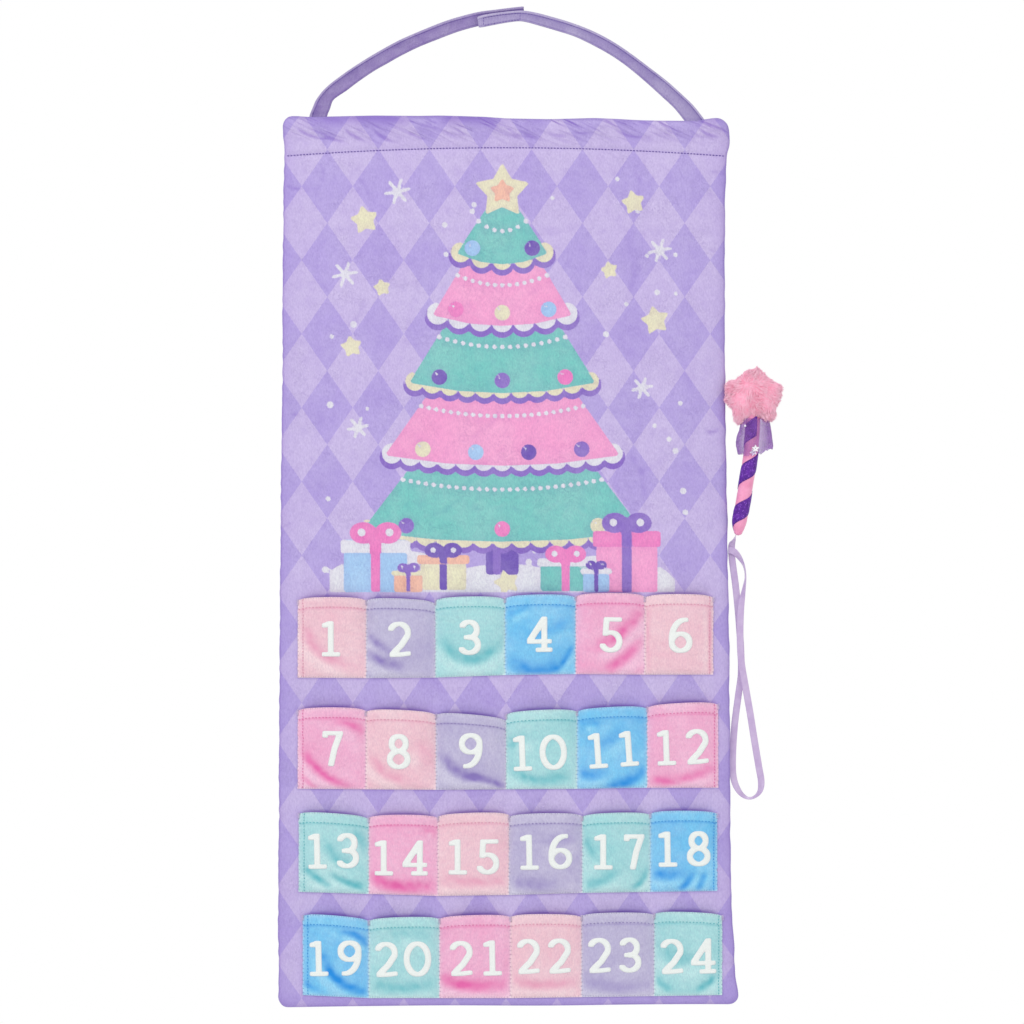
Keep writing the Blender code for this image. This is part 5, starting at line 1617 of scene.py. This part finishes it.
# Upper and lower edge of each half in the photograph's pixels, from the root to the tip.
LEFT_EDGES = (
    ((309, 118.5), (310, 114), (312.5, 108), (316, 100), (322.5, 91.2), (330, 84), (338.3, 77.6), (350, 69.2),
     (365, 59.4), (378.5, 51.3), (391.7, 43.9), (405, 37.2), (431.7, 25.9), (445.6, 20.6), (458.3, 16.6),
     (478.3, 11.6), (498.3, 8.9), (511, 7.3), (523.8, 5.9)),
    ((326.6, 118.5), (328, 113.5), (330.2, 108.4), (331.6, 103.6), (334, 99.4), (340, 95), (347, 90.3),
     (358.3, 81.7), (374.3, 70.8), (387, 63.6), (399.7, 56.3), (418.3, 47), (437, 39.4), (453, 33.2),
     (466, 29), (480, 25.5), (495, 22.5), (510, 20.4), (524, 18.6)),
)
RIGHT_EDGES = (
    ((707.3, 123.5), (700.4, 114.2), (692.7, 104.7), (680.7, 93.3), (667.3, 81.3), (650, 68), (634, 56),
     (618, 44.9), (600.7, 35), (584.7, 27.8), (567.3, 21.6), (550, 16.6), (537, 13.2), (523.8, 11),
     (511.3, 11.5), (498.8, 12.8), (486, 14.8), (477.2, 17)),
    ((686.5, 123.5), (678.5, 113.3), (672.7, 106.7), (660.7, 95.6), (647.3, 83.5), (634, 72.2), (620.7, 62),
     (606, 52.6), (587.3, 42.7), (572.7, 36.2), (554, 30.4), (536.7, 25.4), (528, 23), (519.3, 21.7),
     (508, 22.9), (494, 25.4), (484, 27.4), (478.8, 28.1)),
)

# Each strap's velour: its colour, then the darker colour of its painted shade.
strap_velour_left = velour("strap_velour_left", (146, 125, 185), (88, 64, 142), 1.3, 0.2)
strap_velour_right = velour("strap_velour_right", (160, 144, 196), (98, 78, 154), 1.3, 0.2)


def strap_line(edges, side):
    """The strap's middle between its edges, the step from there to the upper edge, and the length so far."""
    routes = [[(photo_x(column), 0, photo_z(row)) for column, row in edge] for edge in edges]
    upper, lower = (smooth_route(route, 150)[0][:, :3] for route in routes)
    middle, half = (upper + lower) / 2, (upper - lower) / 2
    lap_x = LEFT_LAP_X if side < 0 else RIGHT_LAP_X
    share = np.clip((middle[:, 0] - middle[0, 0]) / (lap_x - middle[0, 0]), 0, 1)
    middle[:, 1] = -side * LAP_SHIFT * share**2 * (3 - 2 * share)
    return middle, half, lengths_along(middle)


def make_strap(name, edges, side, body, node, cloth, seed):
    """A flat band between two edges: a thin pillow in section, stitched by its upper edge, its tip shut."""
    middle, half, reach = strap_line(edges, side)
    width = np.linalg.norm(half, axis=1)[:, None]
    over = np.linspace(1, -1, 33)
    over = 0.6 * over + 0.4 * np.sin(over * math.pi / 2)
    across = np.concatenate([over, over[-2:0:-1]])[None, :]
    facing = np.concatenate([np.ones(33), -np.ones(31)])[None, :]
    ends = np.sqrt(1 - np.clip(1 - (reach[-1] - reach) / (1.6 * MM), 0, 1) ** 2)[:, None] * 0.97 + 0.03
    from_upper, from_lower = (1 - across) * width, (1 + across) * width
    pillow = np.sqrt(np.clip(1 - np.abs(across) ** 9, 0, 1)) * 0.94 + 0.06
    past_stitch = from_upper - STRAP_STITCH_INSET
    seam = bell(past_stitch, 0.7 * MM)
    ripple = drift(reach[:, None], across * 7 * MM, 34 * MM, 6 * MM, 18, seed) * 0.16 * MM
    bunched = np.sin(reach[:, None] / (1.0 * MM) + across) * np.exp(-reach[:, None] / (9 * MM)) * 0.22 * MM
    thick = (STRAP_HALF_DEPTH + ripple + bunched - 0.4 * MM * seam) * pillow * ends
    rings = middle[:, None] + half[:, None] * (across * (0.93 + 0.07 * ends))[:, :, None]
    rings[:, :, 1] -= facing * thick
    strap = tube(name, rings, cloth)
    # Painted shade: a line in the stitch's groove fading towards the lower edge, a line by the lower edge's
    # crease, lighter and darker with the bunching by the root, and random blotches.
    line = 0.85 * bell(past_stitch, 0.42 * MM)
    below = 0.45 * np.exp(-np.clip(past_stitch, 0, 1) / (3.4 * MM)) * (past_stitch > 0)
    lower = 0.42 * bell(from_lower - 1.5 * MM, 0.5 * MM)
    blotch = 0.10 * drift(reach[:, None], across * 6 * MM, 60 * MM, 12 * MM, 12, seed + 2)
    set_field(strap, "fold", np.clip(np.maximum(line, below + lower) + blotch - 0.08 * bunched / (0.2 * MM),
                                     0, 0.95))
    # Painted highlight: a pale band between the stitch and the upper edge, and on the right half towards its
    # tip.
    rim = 0.22 / (1 + np.exp(np.clip((past_stitch + 0.6 * MM) / (0.25 * MM), -30, 30)))
    near_tip = 0.2 * np.clip(1 - (reach[-1] - reach[:, None]) / (60 * MM), 0, 1) * (side > 0)
    set_field(strap, "pale", rim + near_tip)
    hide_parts(node)
    stitch_at = np.arange(5 * MM, reach[-1] - (9 if side > 0 else 3) * MM, 2.6 * MM)
    centre = np.stack([np.interp(stitch_at, reach, axis) for axis in middle.T], axis=1)
    step = np.stack([np.interp(stitch_at, reach, axis) for axis in half.T], axis=1)
    share = 1 - STRAP_STITCH_INSET / np.linalg.norm(step, axis=1, keepdims=True)
    for label, way in (("front", -1), ("back", 1)):
        places = centre + step * share + np.array((0, way * (STRAP_HALF_DEPTH - 0.45 * MM), 0))
        sew(f"{name}_{label}_topstitch", places, np.gradient(places, axis=0), (0, way, 0), 2.2 * MM,
            0.5 * MM, purple_thread, body)
    return strap, middle, half


left_strap, _, _ = make_strap("left_strap", LEFT_EDGES, -1, "strap_left", "strap_left", strap_velour_left, 41)
right_strap, right_middle, right_half = make_strap(
    "right_strap", RIGHT_EDGES, 1, "strap_right", "strap_right", strap_velour_right, 43)
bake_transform(left_strap)
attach(right_strap, "strap_right")

# %% Closure tapes
TAB_SLOPE = math.radians(8.4)


def closure_tape(name, node, colour, bristle, body):
    """A thin strip with round corners, as its solid: a flattened pad of loops or hooks."""
    centre = box_middle(node)
    slope = np.array((math.cos(TAB_SLOPE), 0, math.sin(TAB_SLOPE)))
    rise = np.array((-slope[2], 0, slope[0]))
    u, v = np.meshgrid(np.linspace(-1, 1, 61), np.linspace(-1, 1, 21))
    corner = (np.abs(u) ** 14 + np.abs(v) ** 5) ** (1 / 7)
    tuck = np.maximum(corner, 1)
    edge = np.clip((1 - np.maximum(np.abs(u) ** 6, np.abs(v) ** 4)) / 0.3, 0, 1) ** 0.5
    bristles = np.abs(drift(u * 18 * MM, v * 5 * MM, 3 * MM, 1.2 * MM, 20, bristle))
    half = 0.38 * MM * edge + 0.05 * MM + bristles * 0.05 * MM
    flat = centre + (u / tuck * 17.6 * MM)[..., None] * slope + (v / tuck * 4.3 * MM)[..., None] * rise
    out = np.array((0, 1, 0))
    made, tree, shader = new_material(f"{name}_cloth", Sheen_Weight=0.2, Specular_IOR_Level=0.3)
    place = object_place(tree)
    dots = add_node(tree, "ShaderNodeTexVoronoi", {
        "Vector": place, "Scale": 1.0 / (0.9 * MM)}).outputs["Distance"]
    pale = mix_colour(tree, ramp(tree, dots, 0.15, 0.75), cloth_colour(*colour),
                      cloth_colour(*(c * 0.78 for c in colour)))
    paint(tree, shader, pale, times_plus(tree, dots, 0.2, 0.6))
    add_bump(tree, shader, dots, 0.4 * MM, 0.8)
    tape = closed_sheet(name, flat - half[..., None] * out, flat + half[..., None] * out, made)
    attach(tape, body)
    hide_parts(node)


closure_tape("soft_loop_tape", "loop_tape", (150, 128, 190), 51, "strap_left")
closure_tape("hooked_tape", "hook_tape", (156, 138, 192), 52, "strap_right")


def on_tab(column, share):
    """A place on the right tab's face: a photograph column, and a share of the way to the upper edge."""
    x = photo_x(np.asarray(column, float))
    middle, rise = (np.interp(x, right_middle[::-1, 0], line[::-1, 2]) for line in (right_middle, right_half))
    return np.stack([x, np.full(x.shape, -(LAP_SHIFT + STRAP_HALF_DEPTH - 0.1 * MM)), middle + rise * share],
                    axis=-1)


# The box stitch: along the tab near both edges, and up and down at both ends.
box_columns = np.linspace(485.5, 518, 12)
box = [on_tab(box_columns, share) for share in (0.50, -0.78)]
box += [on_tab(np.full(3, column), np.array((-0.5, 0.0, 0.42))) for column in (483.6, 520)]
tab_slope = np.gradient(box[0][:, 2]) / np.gradient(box[0][:, 0])
headings = np.concatenate(
    [np.stack([np.ones(12), np.zeros(12), tab_slope], axis=1)] * 2 + [np.tile((0, 0, 1), (6, 1))])
sew("closure_box_stitch", np.concatenate(box), headings, (0, -1, 0), 2.2 * MM, 0.55 * MM, purple_thread,
    "strap_right")
print("strap halves and closure made")

# %% [markdown]
# ## The wand's stick
# The wand is a stuffed satin stick, bent a little, with a glitter ribbon wound up it. Its middle line
# is a leaning, bowed curve; at any height there a frame of three directions - right, front and up
# the stick - lets every other part of the wand be written as a distance and an angle round it.

# %% Wand frame
WAND_LENGTH = 124.4 * MM
WAND_LEAN = 13.2 * MM
WAND_BOW = 3.6 * MM
WAND_BOW_POWER = 1.4
STAR_Y = -8.0 * MM
STICK_RADIUS = 6.6 * MM
TIP_RADIUS = 3.8 * MM
TIP_DEPTH = 3.0 * MM
STICK_TAPER = 12 * MM
SKIRT_TOP = WAND_LENGTH - 22.9 * MM
STICK_TOP = SKIRT_TOP + 12 * MM
WRAP_PITCH = 37.8 * MM
WRAP_WIDTH = 18.5 * MM
WRAP_FLATNESS_SHARE = 0.2
WRAP_TOP_CROSSING = SKIRT_TOP - 5.7 * MM
wand_tilt = math.asin(WAND_LEAN / WAND_LENGTH)


def wand_frame(along):
    """Middle of the stick and its right and front directions, for an array of heights."""
    along = np.asarray(along, float)
    share = along / WAND_LENGTH
    bent = np.maximum(share, 0) ** WAND_BOW_POWER
    depth_rate = (STAR_Y - WAND_AXIS[1]) / WAND_LENGTH
    centre = np.stack(
        [
            WAND_AXIS[0] + along * math.sin(wand_tilt) + WAND_BOW * np.sin(np.pi * bent),
            WAND_AXIS[1] + depth_rate * along,
            WAND_AXIS[2] + along * math.cos(wand_tilt),
        ],
        axis=-1,
    )
    bend_rate = np.pi * WAND_BOW_POWER / WAND_LENGTH * np.maximum(share, 0) ** (WAND_BOW_POWER - 1)
    lean = math.sin(wand_tilt) + WAND_BOW * bend_rate * np.cos(np.pi * bent)
    forward = unit(np.stack([lean, np.full_like(lean, depth_rate), np.full_like(lean, math.cos(wand_tilt))],
                            axis=-1))
    right = unit(np.cross((0, 1, 0), forward))
    return centre, right, np.cross(right, forward)


def around(along, radius, angle):
    """Points at a distance and an angle round the stick: 0 is right, a quarter turn is the front."""
    centre, right, front = wand_frame(along)
    sideways = right * np.cos(angle)[..., None] + front * np.sin(angle)[..., None]
    return centre + sideways * np.asarray(radius)[..., None]


def stick_radius(along):
    """A small ball at the tip, then a quarter wave that swells to the full stick."""
    along = np.asarray(along, float)
    ball = TIP_RADIUS * np.sqrt(np.maximum(1 - (np.minimum(along, 0) / TIP_DEPTH) ** 2, 0))
    swell = TIP_RADIUS + (STICK_RADIUS - TIP_RADIUS) * np.sin(np.pi / 2 * np.clip(along / STICK_TAPER, 0, 1))
    return np.where(along < 0, ball, swell)


# %% Satin stick
def ringed(name, rows, sides, low, high, radius, material):
    """A closed skin round the stick between two heights."""
    along, turn = np.meshgrid(
        np.linspace(low, high, rows), np.linspace(0, 2 * math.pi, sides, endpoint=False), indexing="ij")
    piece = tube(name, around(along, radius(along, turn), turn), material)
    set_field(piece, "along", along)
    set_field(piece, "across", np.zeros(along.shape))
    return piece


def satin_radius(along, turn):
    """The stick's radius with fine gathers that run along it, deepest at the tip."""
    gather = 0.14 * MM * np.sin(turn * 9 + 14 * along / WAND_LENGTH)
    gather = gather * np.exp(-np.maximum(along, 0) / (9 * MM))
    slack = drift(along, turn * 5 * MM, 24 * MM, 8 * MM, 12, 61) * 0.12 * MM
    return stick_radius(along) + (gather + slack) * np.clip(along / (2 * MM) + 1.2, 0.02, 1)


stick_satin = satin("pink_satin", (252, 168, 206), (226, 124, 168), 0.15)
stick = ringed("satin_stick", 120, 40, -0.985 * TIP_DEPTH, STICK_TOP, satin_radius, stick_satin)
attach(stick, "wand")
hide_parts("wand_sleeve", "wand_core")

# %% Glitter wrap
glitter, tree, shader = new_material("purple_glitter", Specular_IOR_Level=0.3)
place = object_place(tree)
flakes = add_node(tree, "ShaderNodeTexVoronoi", {"Vector": place, "Scale": 1 / (0.75 * MM)})
# The flakes are metallic and smoother, and are also painted lighter as glints.
sparkle = ramp(tree, calculate(tree, "FRACT", times(tree, flakes.outputs["Color"], 7.0)), 0.88, 0.94)
# Painted shade along both edges of the band.
edge = ramp(tree, calculate(tree, "ABSOLUTE", field(tree, "across")), 0.8, 0.93)
cloudy = ramp(tree, noise(tree, place, 260, 3.0), 0.35, 0.65)
tone = between_tones(tree, cloudy, (78, 22, 136), (106, 44, 168))
tone = mix_colour(tree, times(tree, edge, 0.6), tone, cloth_colour(70, 18, 126))
paint(tree, shader, mix_colour(tree, times(tree, sparkle, 0.6), tone, cloth_colour(168, 112, 224)),
      times_plus(tree, sparkle, -0.2, 0.5))
feed(tree, shader.inputs["Metallic"], times(tree, sparkle, 0.4))
add_bump(tree, shader, flakes.outputs["Distance"], 0.2 * MM, 0.6)

turn = np.arange(math.radians(30), -20, -math.radians(5))
middle = WRAP_TOP_CROSSING + WRAP_PITCH / (2 * math.pi) * (turn - WRAP_FLATNESS_SHARE * np.sin(turn))
turn, middle = turn[middle > 8 * MM], middle[middle > 8 * MM]
share = np.linspace(-1, 1, 13)
along = middle[:, None] + WRAP_WIDTH / 2 * share[None, :]
angle = np.broadcast_to((math.pi / 2 - turn)[:, None], along.shape)
crimp = drift(turn[:, None] * 6 * MM, share[None, :] * 9 * MM, 9 * MM, 3 * MM, 12, 63) * 0.07 * MM
outside = stick_radius(np.maximum(along, 0)) + 0.62 * MM + crimp - 0.25 * MM * np.abs(share[None, :]) ** 8
wrap = closed_sheet("glitter_wrap", around(along, outside, angle), around(along, outside - 0.5 * MM, angle),
                    glitter)
set_field(wrap, "across", np.tile(np.broadcast_to(share, along.shape).ravel(), 2))
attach(wrap, "wand")
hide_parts("wand_ribbon_wrap")
print("stick and wrap made")

# %% [markdown]
# ## The star
# A small star of long-pile plush, stuffed until its points are blunt. The body is a ball whose
# outline follows a five-fold wave. The pile is real strands: each is a low blade of three sides that
# starts on the body, leans the way the fur is combed and bends a little. Seven thousand of them are
# one mesh.

# %% Star body
STAR_RADIUS = 26.6 * MM
STAR_VALLEY_SHARE = 0.86
STAR_HALF_THICKNESS = 12.5 * MM
STAR_TURN = math.radians(2)
PILE_LENGTH = 5.2 * MM
star_centre = wand_frame(np.array(WAND_LENGTH))[0]


def star_outline(angle):
    """The outline's radius: long at its five points, shorter between them, and pulled in over the stick."""
    wave = (1 + np.cos(5 * (angle - math.pi / 2 - STAR_TURN))) / 2
    from_stick = (angle + 1.48 + math.pi) % (2 * math.pi) - math.pi
    pulled_in = 1 - 0.14 * np.exp(-((from_stick / 0.42) ** 4))
    return STAR_RADIUS * (STAR_VALLEY_SHARE + (1 - STAR_VALLEY_SHARE) * wave) * pulled_in


def star_skin(angle, tilt, inset):
    """A point of the plump star: its outline drawn in as the tilt leaves the middle plane."""
    reach = (star_outline(angle) - inset) * np.cos(tilt) ** 0.85
    depth = (STAR_HALF_THICKNESS - inset) * np.sin(tilt)
    return star_centre + np.stack([reach * np.cos(angle), depth, reach * np.sin(angle)], axis=-1)


star_plush, tree, shader = new_material("pink_plush", Sheen_Weight=0.5, Sheen_Roughness=0.4,
                                        Specular_IOR_Level=0.1)
place = object_place(tree)
clump = ramp(tree, noise(tree, place, 160, 3.0), 0.32, 0.68)
# Painted shade: the pile is darker at its roots than at its tips.
root = between_tones(tree, clump, (255, 166, 196), (255, 182, 208))
tip = between_tones(tree, clump, (255, 194, 216), (255, 214, 230))
paint(tree, shader, mix_colour(tree, field(tree, "along"), root, tip), times_plus(tree, clump, 0.1, 0.7))
add_bump(tree, shader, clump, 0.8 * MM, 0.4)

angle, tilt = np.meshgrid(np.linspace(0, 2 * math.pi, 90, endpoint=False), np.linspace(-1.54, 1.54, 41))
star = tube("plush_star_body", star_skin(angle, tilt, 2.2 * MM), star_plush)
set_field(star, "along", np.full(angle.shape, 0.35))
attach(star, "wand")
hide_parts("wand_star", "star_stuffing")

# %% Star pile
STRANDS = 7000
draw = np.random.default_rng(71)
angle = draw.uniform(0, 2 * math.pi, STRANDS)
tilt = np.arcsin(draw.uniform(-0.9995, 0.9995, STRANDS))
PILE_INSET = 2.1 * MM
base = star_skin(angle, tilt, PILE_INSET)
delta = 0.02
right_of = star_skin(angle + delta, tilt, PILE_INSET) - star_skin(angle - delta, tilt, PILE_INSET)
above = star_skin(angle, tilt + delta, PILE_INSET) - star_skin(angle, tilt - delta, PILE_INSET)
outward = unit(np.cross(above, right_of))
outward *= np.sign(np.sum(outward * (base - star_centre), axis=1, keepdims=True))
# Combed away from a whorl above the middle of each face, in soft swirls, and standing up more at the rim.
away = base - (star_centre + np.array((-4, 0, 9)) * MM)
combed = unit(away - np.sum(away * outward, axis=1, keepdims=True) * outward)
swirl = np.stack([drift(base[:, 0], base[:, 2], 30 * MM, 12 * MM, 8, seed) for seed in (72, 73, 74)], axis=1)
standing = (0.17 + 0.36 * np.cos(tilt) ** 4)[:, None]
lean = unit(0.85 * combed + standing * outward + 0.42 * swirl + draw.normal(0, 0.09, (STRANDS, 3)))
length = PILE_LENGTH * draw.uniform(0.75, 1.15, STRANDS)[:, None]
bend = unit(swirl + np.array((0, 0, -0.4))) * 0.16
steps = np.array((0.0, 0.4, 0.75, 1.0))
spine = base[:, None] + lean[:, None] * (steps[None, :, None] * length[:, None])
spine = spine + (bend[:, None] - 0.06 * outward[:, None]) * (steps[None, :, None] ** 2 * length[:, None])
# Each blade is low and wide, with its ridge turned outwards, so the combed pile takes the light evenly.
side = unit(np.cross(lean, outward + draw.normal(0, 0.2, (STRANDS, 3)))) * 1.15
other = np.cross(side, lean) * 0.42
thickness = np.array((0.34, 0.32, 0.22, 0.03)) * MM
corners = math.pi / 2 + np.linspace(0, 2 * math.pi, 3, endpoint=False)
cosine, sine = (wave[None, None, :, None] for wave in (np.cos(corners), np.sin(corners)))
offset = side[:, None, None] * cosine + other[:, None, None] * sine
strands = spine[:, :, None] + offset * thickness[None, :, None, None]
corner = np.arange(12).reshape(4, 3)
walls = np.stack([corner[:-1], np.roll(corner[:-1], -1, 1), np.roll(corner[1:], -1, 1), corner[1:]],
                 axis=-1).reshape(-1, 4)
first = np.arange(STRANDS)[:, None, None] * 12
quads = (walls[None] + first).reshape(-1, 4)
caps = (np.array([[0, 2, 1], [9, 10, 11]])[None] + first).reshape(-1, 3)
pile = new_piece("plush_star_pile", strands, [list(q) for q in quads] + [list(c) for c in caps], star_plush,
                 smooth=False)
point_outwards(pile)
set_field(pile, "along", np.tile(np.repeat(steps**0.7, 3), STRANDS))
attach(pile, "wand")
print(STRANDS, "strands of pile")

# %% [markdown]
# ## The skirt, flowers and bead
# Under the star a scrap of sheer organza is gathered round the stick, and its two edges meet in
# front. It is a real sheet with a woven alpha: where threads cross it is dense, between them it
# lets the stick show.

# %% Organza skirt
SKIRT_HEIGHT = 31 * MM
SKIRT_CLOSE, SKIRT_DEEP = 7.45 * MM, 8.0 * MM
SKIRT_OPENING = math.radians(0.5)
# How far the veil reaches to the left and right of the stick, at shares of the way down, in mm.
REACH_DOWN = (0, 0.27, 0.44, 0.64, 0.76, 0.93, 1)
REACH_LEFT = (10.8, 12.2, 14.0, 14.6, 14.2, 12.4, 11.6)
REACH_RIGHT = (15.2, 16.9, 17.8, 19.2, 18.6, 17.6, 17.2)
HEM_RISE = 0.28


def skirt_points(share_around, share_down, offset):
    """An oval round the stick in soft folds, as wide as the photograph shows, its hem higher on the right."""
    opening = SKIRT_OPENING * share_down
    angle = math.pi / 2 + opening + (2 * math.pi - 2 * opening) * share_around
    down = share_down * (1 - HEM_RISE * np.maximum(np.cos(angle), 0) ** 1.5)
    sides = np.where(np.cos(angle) > 0, np.interp(down, REACH_DOWN, REACH_RIGHT),
                     np.interp(down, REACH_DOWN, REACH_LEFT))
    folds = 0.55 * MM * down * np.cos(11 * angle + 2 * np.sin(3 * angle)) * np.cos(angle) ** 2
    folds = folds + 0.12 * MM * np.cos(29 * angle)
    wide = sides * MM + folds + offset
    deep = SKIRT_CLOSE + (SKIRT_DEEP - SKIRT_CLOSE) * down + offset + 0.08 * MM * np.cos(29 * angle)
    ragged = 1.1 * MM * share_down**6 * drift(angle * 10 * MM, angle * 0, 9 * MM, 1.6 * MM, 14, 81)
    centre, right, front = wand_frame(SKIRT_TOP - SKIRT_HEIGHT * down + ragged)
    return centre + right * (wide * np.cos(angle))[..., None] + front * (deep * np.sin(angle))[..., None]


organza, tree, shader = new_material("sheer_organza", Sheen_Weight=0.25, Specular_IOR_Level=0.4)
u, v = field(tree, "across"), field(tree, "along")
turns = [times(tree, way, math.pi / (0.55 * MM)) for way in (u, v)]
threads = [calculate(tree, "ABSOLUTE", calculate(tree, "SINE", turned)) for turned in turns]
weave = calculate(tree, "MINIMUM", *threads)
dense = ramp(tree, weave, 0.75, 0.25)
place = object_place(tree)
cloud = ramp(tree, noise(tree, place, 130, 2.0), 0.3, 0.7)
paint(tree, shader, between_tones(tree, cloud, (132, 72, 176), (170, 112, 204)),
      times_plus(tree, cloud, 0.15, 0.35))
gathered = times_plus(tree, field(tree, "fold"), 0.34, 0.10)
feed(tree, shader.inputs["Alpha"], times_plus(tree, dense, 0.18, gathered))

shares, downs = np.meshgrid(np.linspace(0, 1, 260), np.linspace(-0.11, 1, 44))
skirt = closed_sheet("organza_skirt", skirt_points(shares, downs, 0.25 * MM),
                     skirt_points(shares, downs, 0.10 * MM), organza)
set_field(skirt, "across", np.tile((shares * 110 * MM).ravel(), 2))
set_field(skirt, "along", np.tile((downs * SKIRT_HEIGHT).ravel(), 2))
set_field(skirt, "fold", np.tile((np.sin(2 * math.pi * shares) ** 2).ravel(), 2))
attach(skirt, "wand")
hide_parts("wand_skirt")

# %% Flowers and bead
pearl, tree, shader = new_material("pearl_white", Coat_Weight=0.5, Coat_Roughness=0.1, Specular_IOR_Level=0.5)
place = object_place(tree)
lustre = ramp(tree, noise(tree, place, 500, 2.0), 0.3, 0.7)
white = between_tones(tree, lustre, (240, 238, 246), (253, 252, 253))
paint(tree, shader, mix_colour(tree, field(tree, "along"), cloth_colour(120, 96, 120), white),
      times_plus(tree, lustre, 0.1, 0.2))
FLOWER_RADIUS = 3.5 * MM


def flower(name, node, below, aside, lift, turned):
    """A cupped sequin: five pointed petals about a small dark hollow, thin and closed."""
    centre, right, front = wand_frame(np.array(SKIRT_TOP - below * MM))
    up = np.cross(front, right)
    base = centre + right * aside * MM + front * (SKIRT_DEEP - 0.2 * MM + lift)
    turn, share = np.meshgrid(np.linspace(0, 2 * math.pi, 60, endpoint=False), np.linspace(0.04, 1, 11))
    petal = np.abs(((turn + turned) * 5 / (2 * math.pi)) % 1 - 0.5) * 2
    radius = FLOWER_RADIUS * (1 - 0.52 * (1 - petal) ** 0.8) * share
    cup = 0.5 * MM * share**2 + 0.25 * MM * petal * share
    flat = base + right * (radius * np.sin(turn))[..., None] + up * (radius * np.cos(turn))[..., None]
    top = flat + front * (cup + 0.28 * MM)[..., None]
    bottom = flat + front * np.maximum(cup - 0.05 * MM, 0)[..., None]
    piece = tube(name, np.concatenate([bottom, top[::-1]]), pearl)
    set_field(piece, "along", np.concatenate([np.ones(share.shape),
                                              np.clip((share[::-1] - 0.1) / 0.08, 0, 1)]))
    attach(piece, "wand")
    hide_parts(node)


flower("lower_flower", "wand_flower_lower", 27.6, 1.9, -0.5 * MM, 0.5)
flower("upper_flower", "wand_flower_upper", 24.0, 3.4, 0.2 * MM, 0.1)
turn, tilt = np.meshgrid(np.linspace(0, 2 * math.pi, 28, endpoint=False), np.linspace(-1.5, 1.5, 15))
ball = np.stack([np.cos(tilt) * np.cos(turn), np.cos(tilt) * np.sin(turn), np.sin(tilt)], axis=-1)
pearl_bead = tube("pearl_bead", box_middle("wand_bead") + ball * 1.15 * MM, pearl)
set_field(pearl_bead, "along", np.ones(ball.shape[:2]))
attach(pearl_bead, "wand")
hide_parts("wand_bead")
print("skirt, flowers and bead made")

# %% [markdown]
# ## The rod
# The rod in the casing is hidden by the cloth, but it is a real dowel, so it keeps its solid and
# gets a wood finish: long grain along the rod and fine pores.

# %% Rod
wood, tree, shader = new_material("rod_wood", Specular_IOR_Level=0.4)
place = object_place(tree)
stretched = add_node(tree, "ShaderNodeMapping", {"Vector": place, "Scale": (6.0, 220.0, 220.0)}).outputs[0]
grain = noise(tree, stretched, 1.0, 4.0, 0.6, 0.8)
paint(tree, shader, between_tones(tree, ramp(tree, grain, 0.35, 0.65), (206, 168, 120), (226, 196, 152)),
      times_plus(tree, grain, 0.2, 0.5))
add_bump(tree, shader, grain, 0.15 * MM, 0.4)
for holder in frame["nodes"]["hanging_rod"].material_slots:
    holder.material = wood
print("rod finished")

# %% [markdown]
# ## The floor
# A plain pale floor lies below the hanging calendar and carries its shadow. It reaches back no
# further than the camera's view allows, so the photograph's white stays plain.

# %% Floor
FLOOR_Z = -1.2
FLOOR_BACK = 1.2
FLOOR_SIDE = 1.6


def floor_height(x, y):
    """Level all over, with a very slight fall towards its edges so that no edge catches light."""
    return FLOOR_Z - 0.004 * np.hypot(x / FLOOR_SIDE, y / FLOOR_SIDE) ** 2


steps = np.linspace(-1, 1, 25)
floor_x, floor_y = np.meshgrid(steps * FLOOR_SIDE, steps * FLOOR_BACK)
made, tree, shader = new_material("pale_floor", Roughness=0.9, Specular_IOR_Level=0.2)
place = object_place(tree)
tone = ramp(tree, noise(tree, place, 6, 3.0), 0.3, 0.7)
feed(tree, shader.inputs["Base Color"], mix_colour(tree, tone, (0.86, 0.86, 0.87, 1), (0.9, 0.9, 0.9, 1)))
points = np.stack([floor_x, floor_y, floor_height(floor_x, floor_y)], axis=-1)
floor = new_piece("floor", points, grid_faces(25, 25), made)
print("floor at", FLOOR_Z)
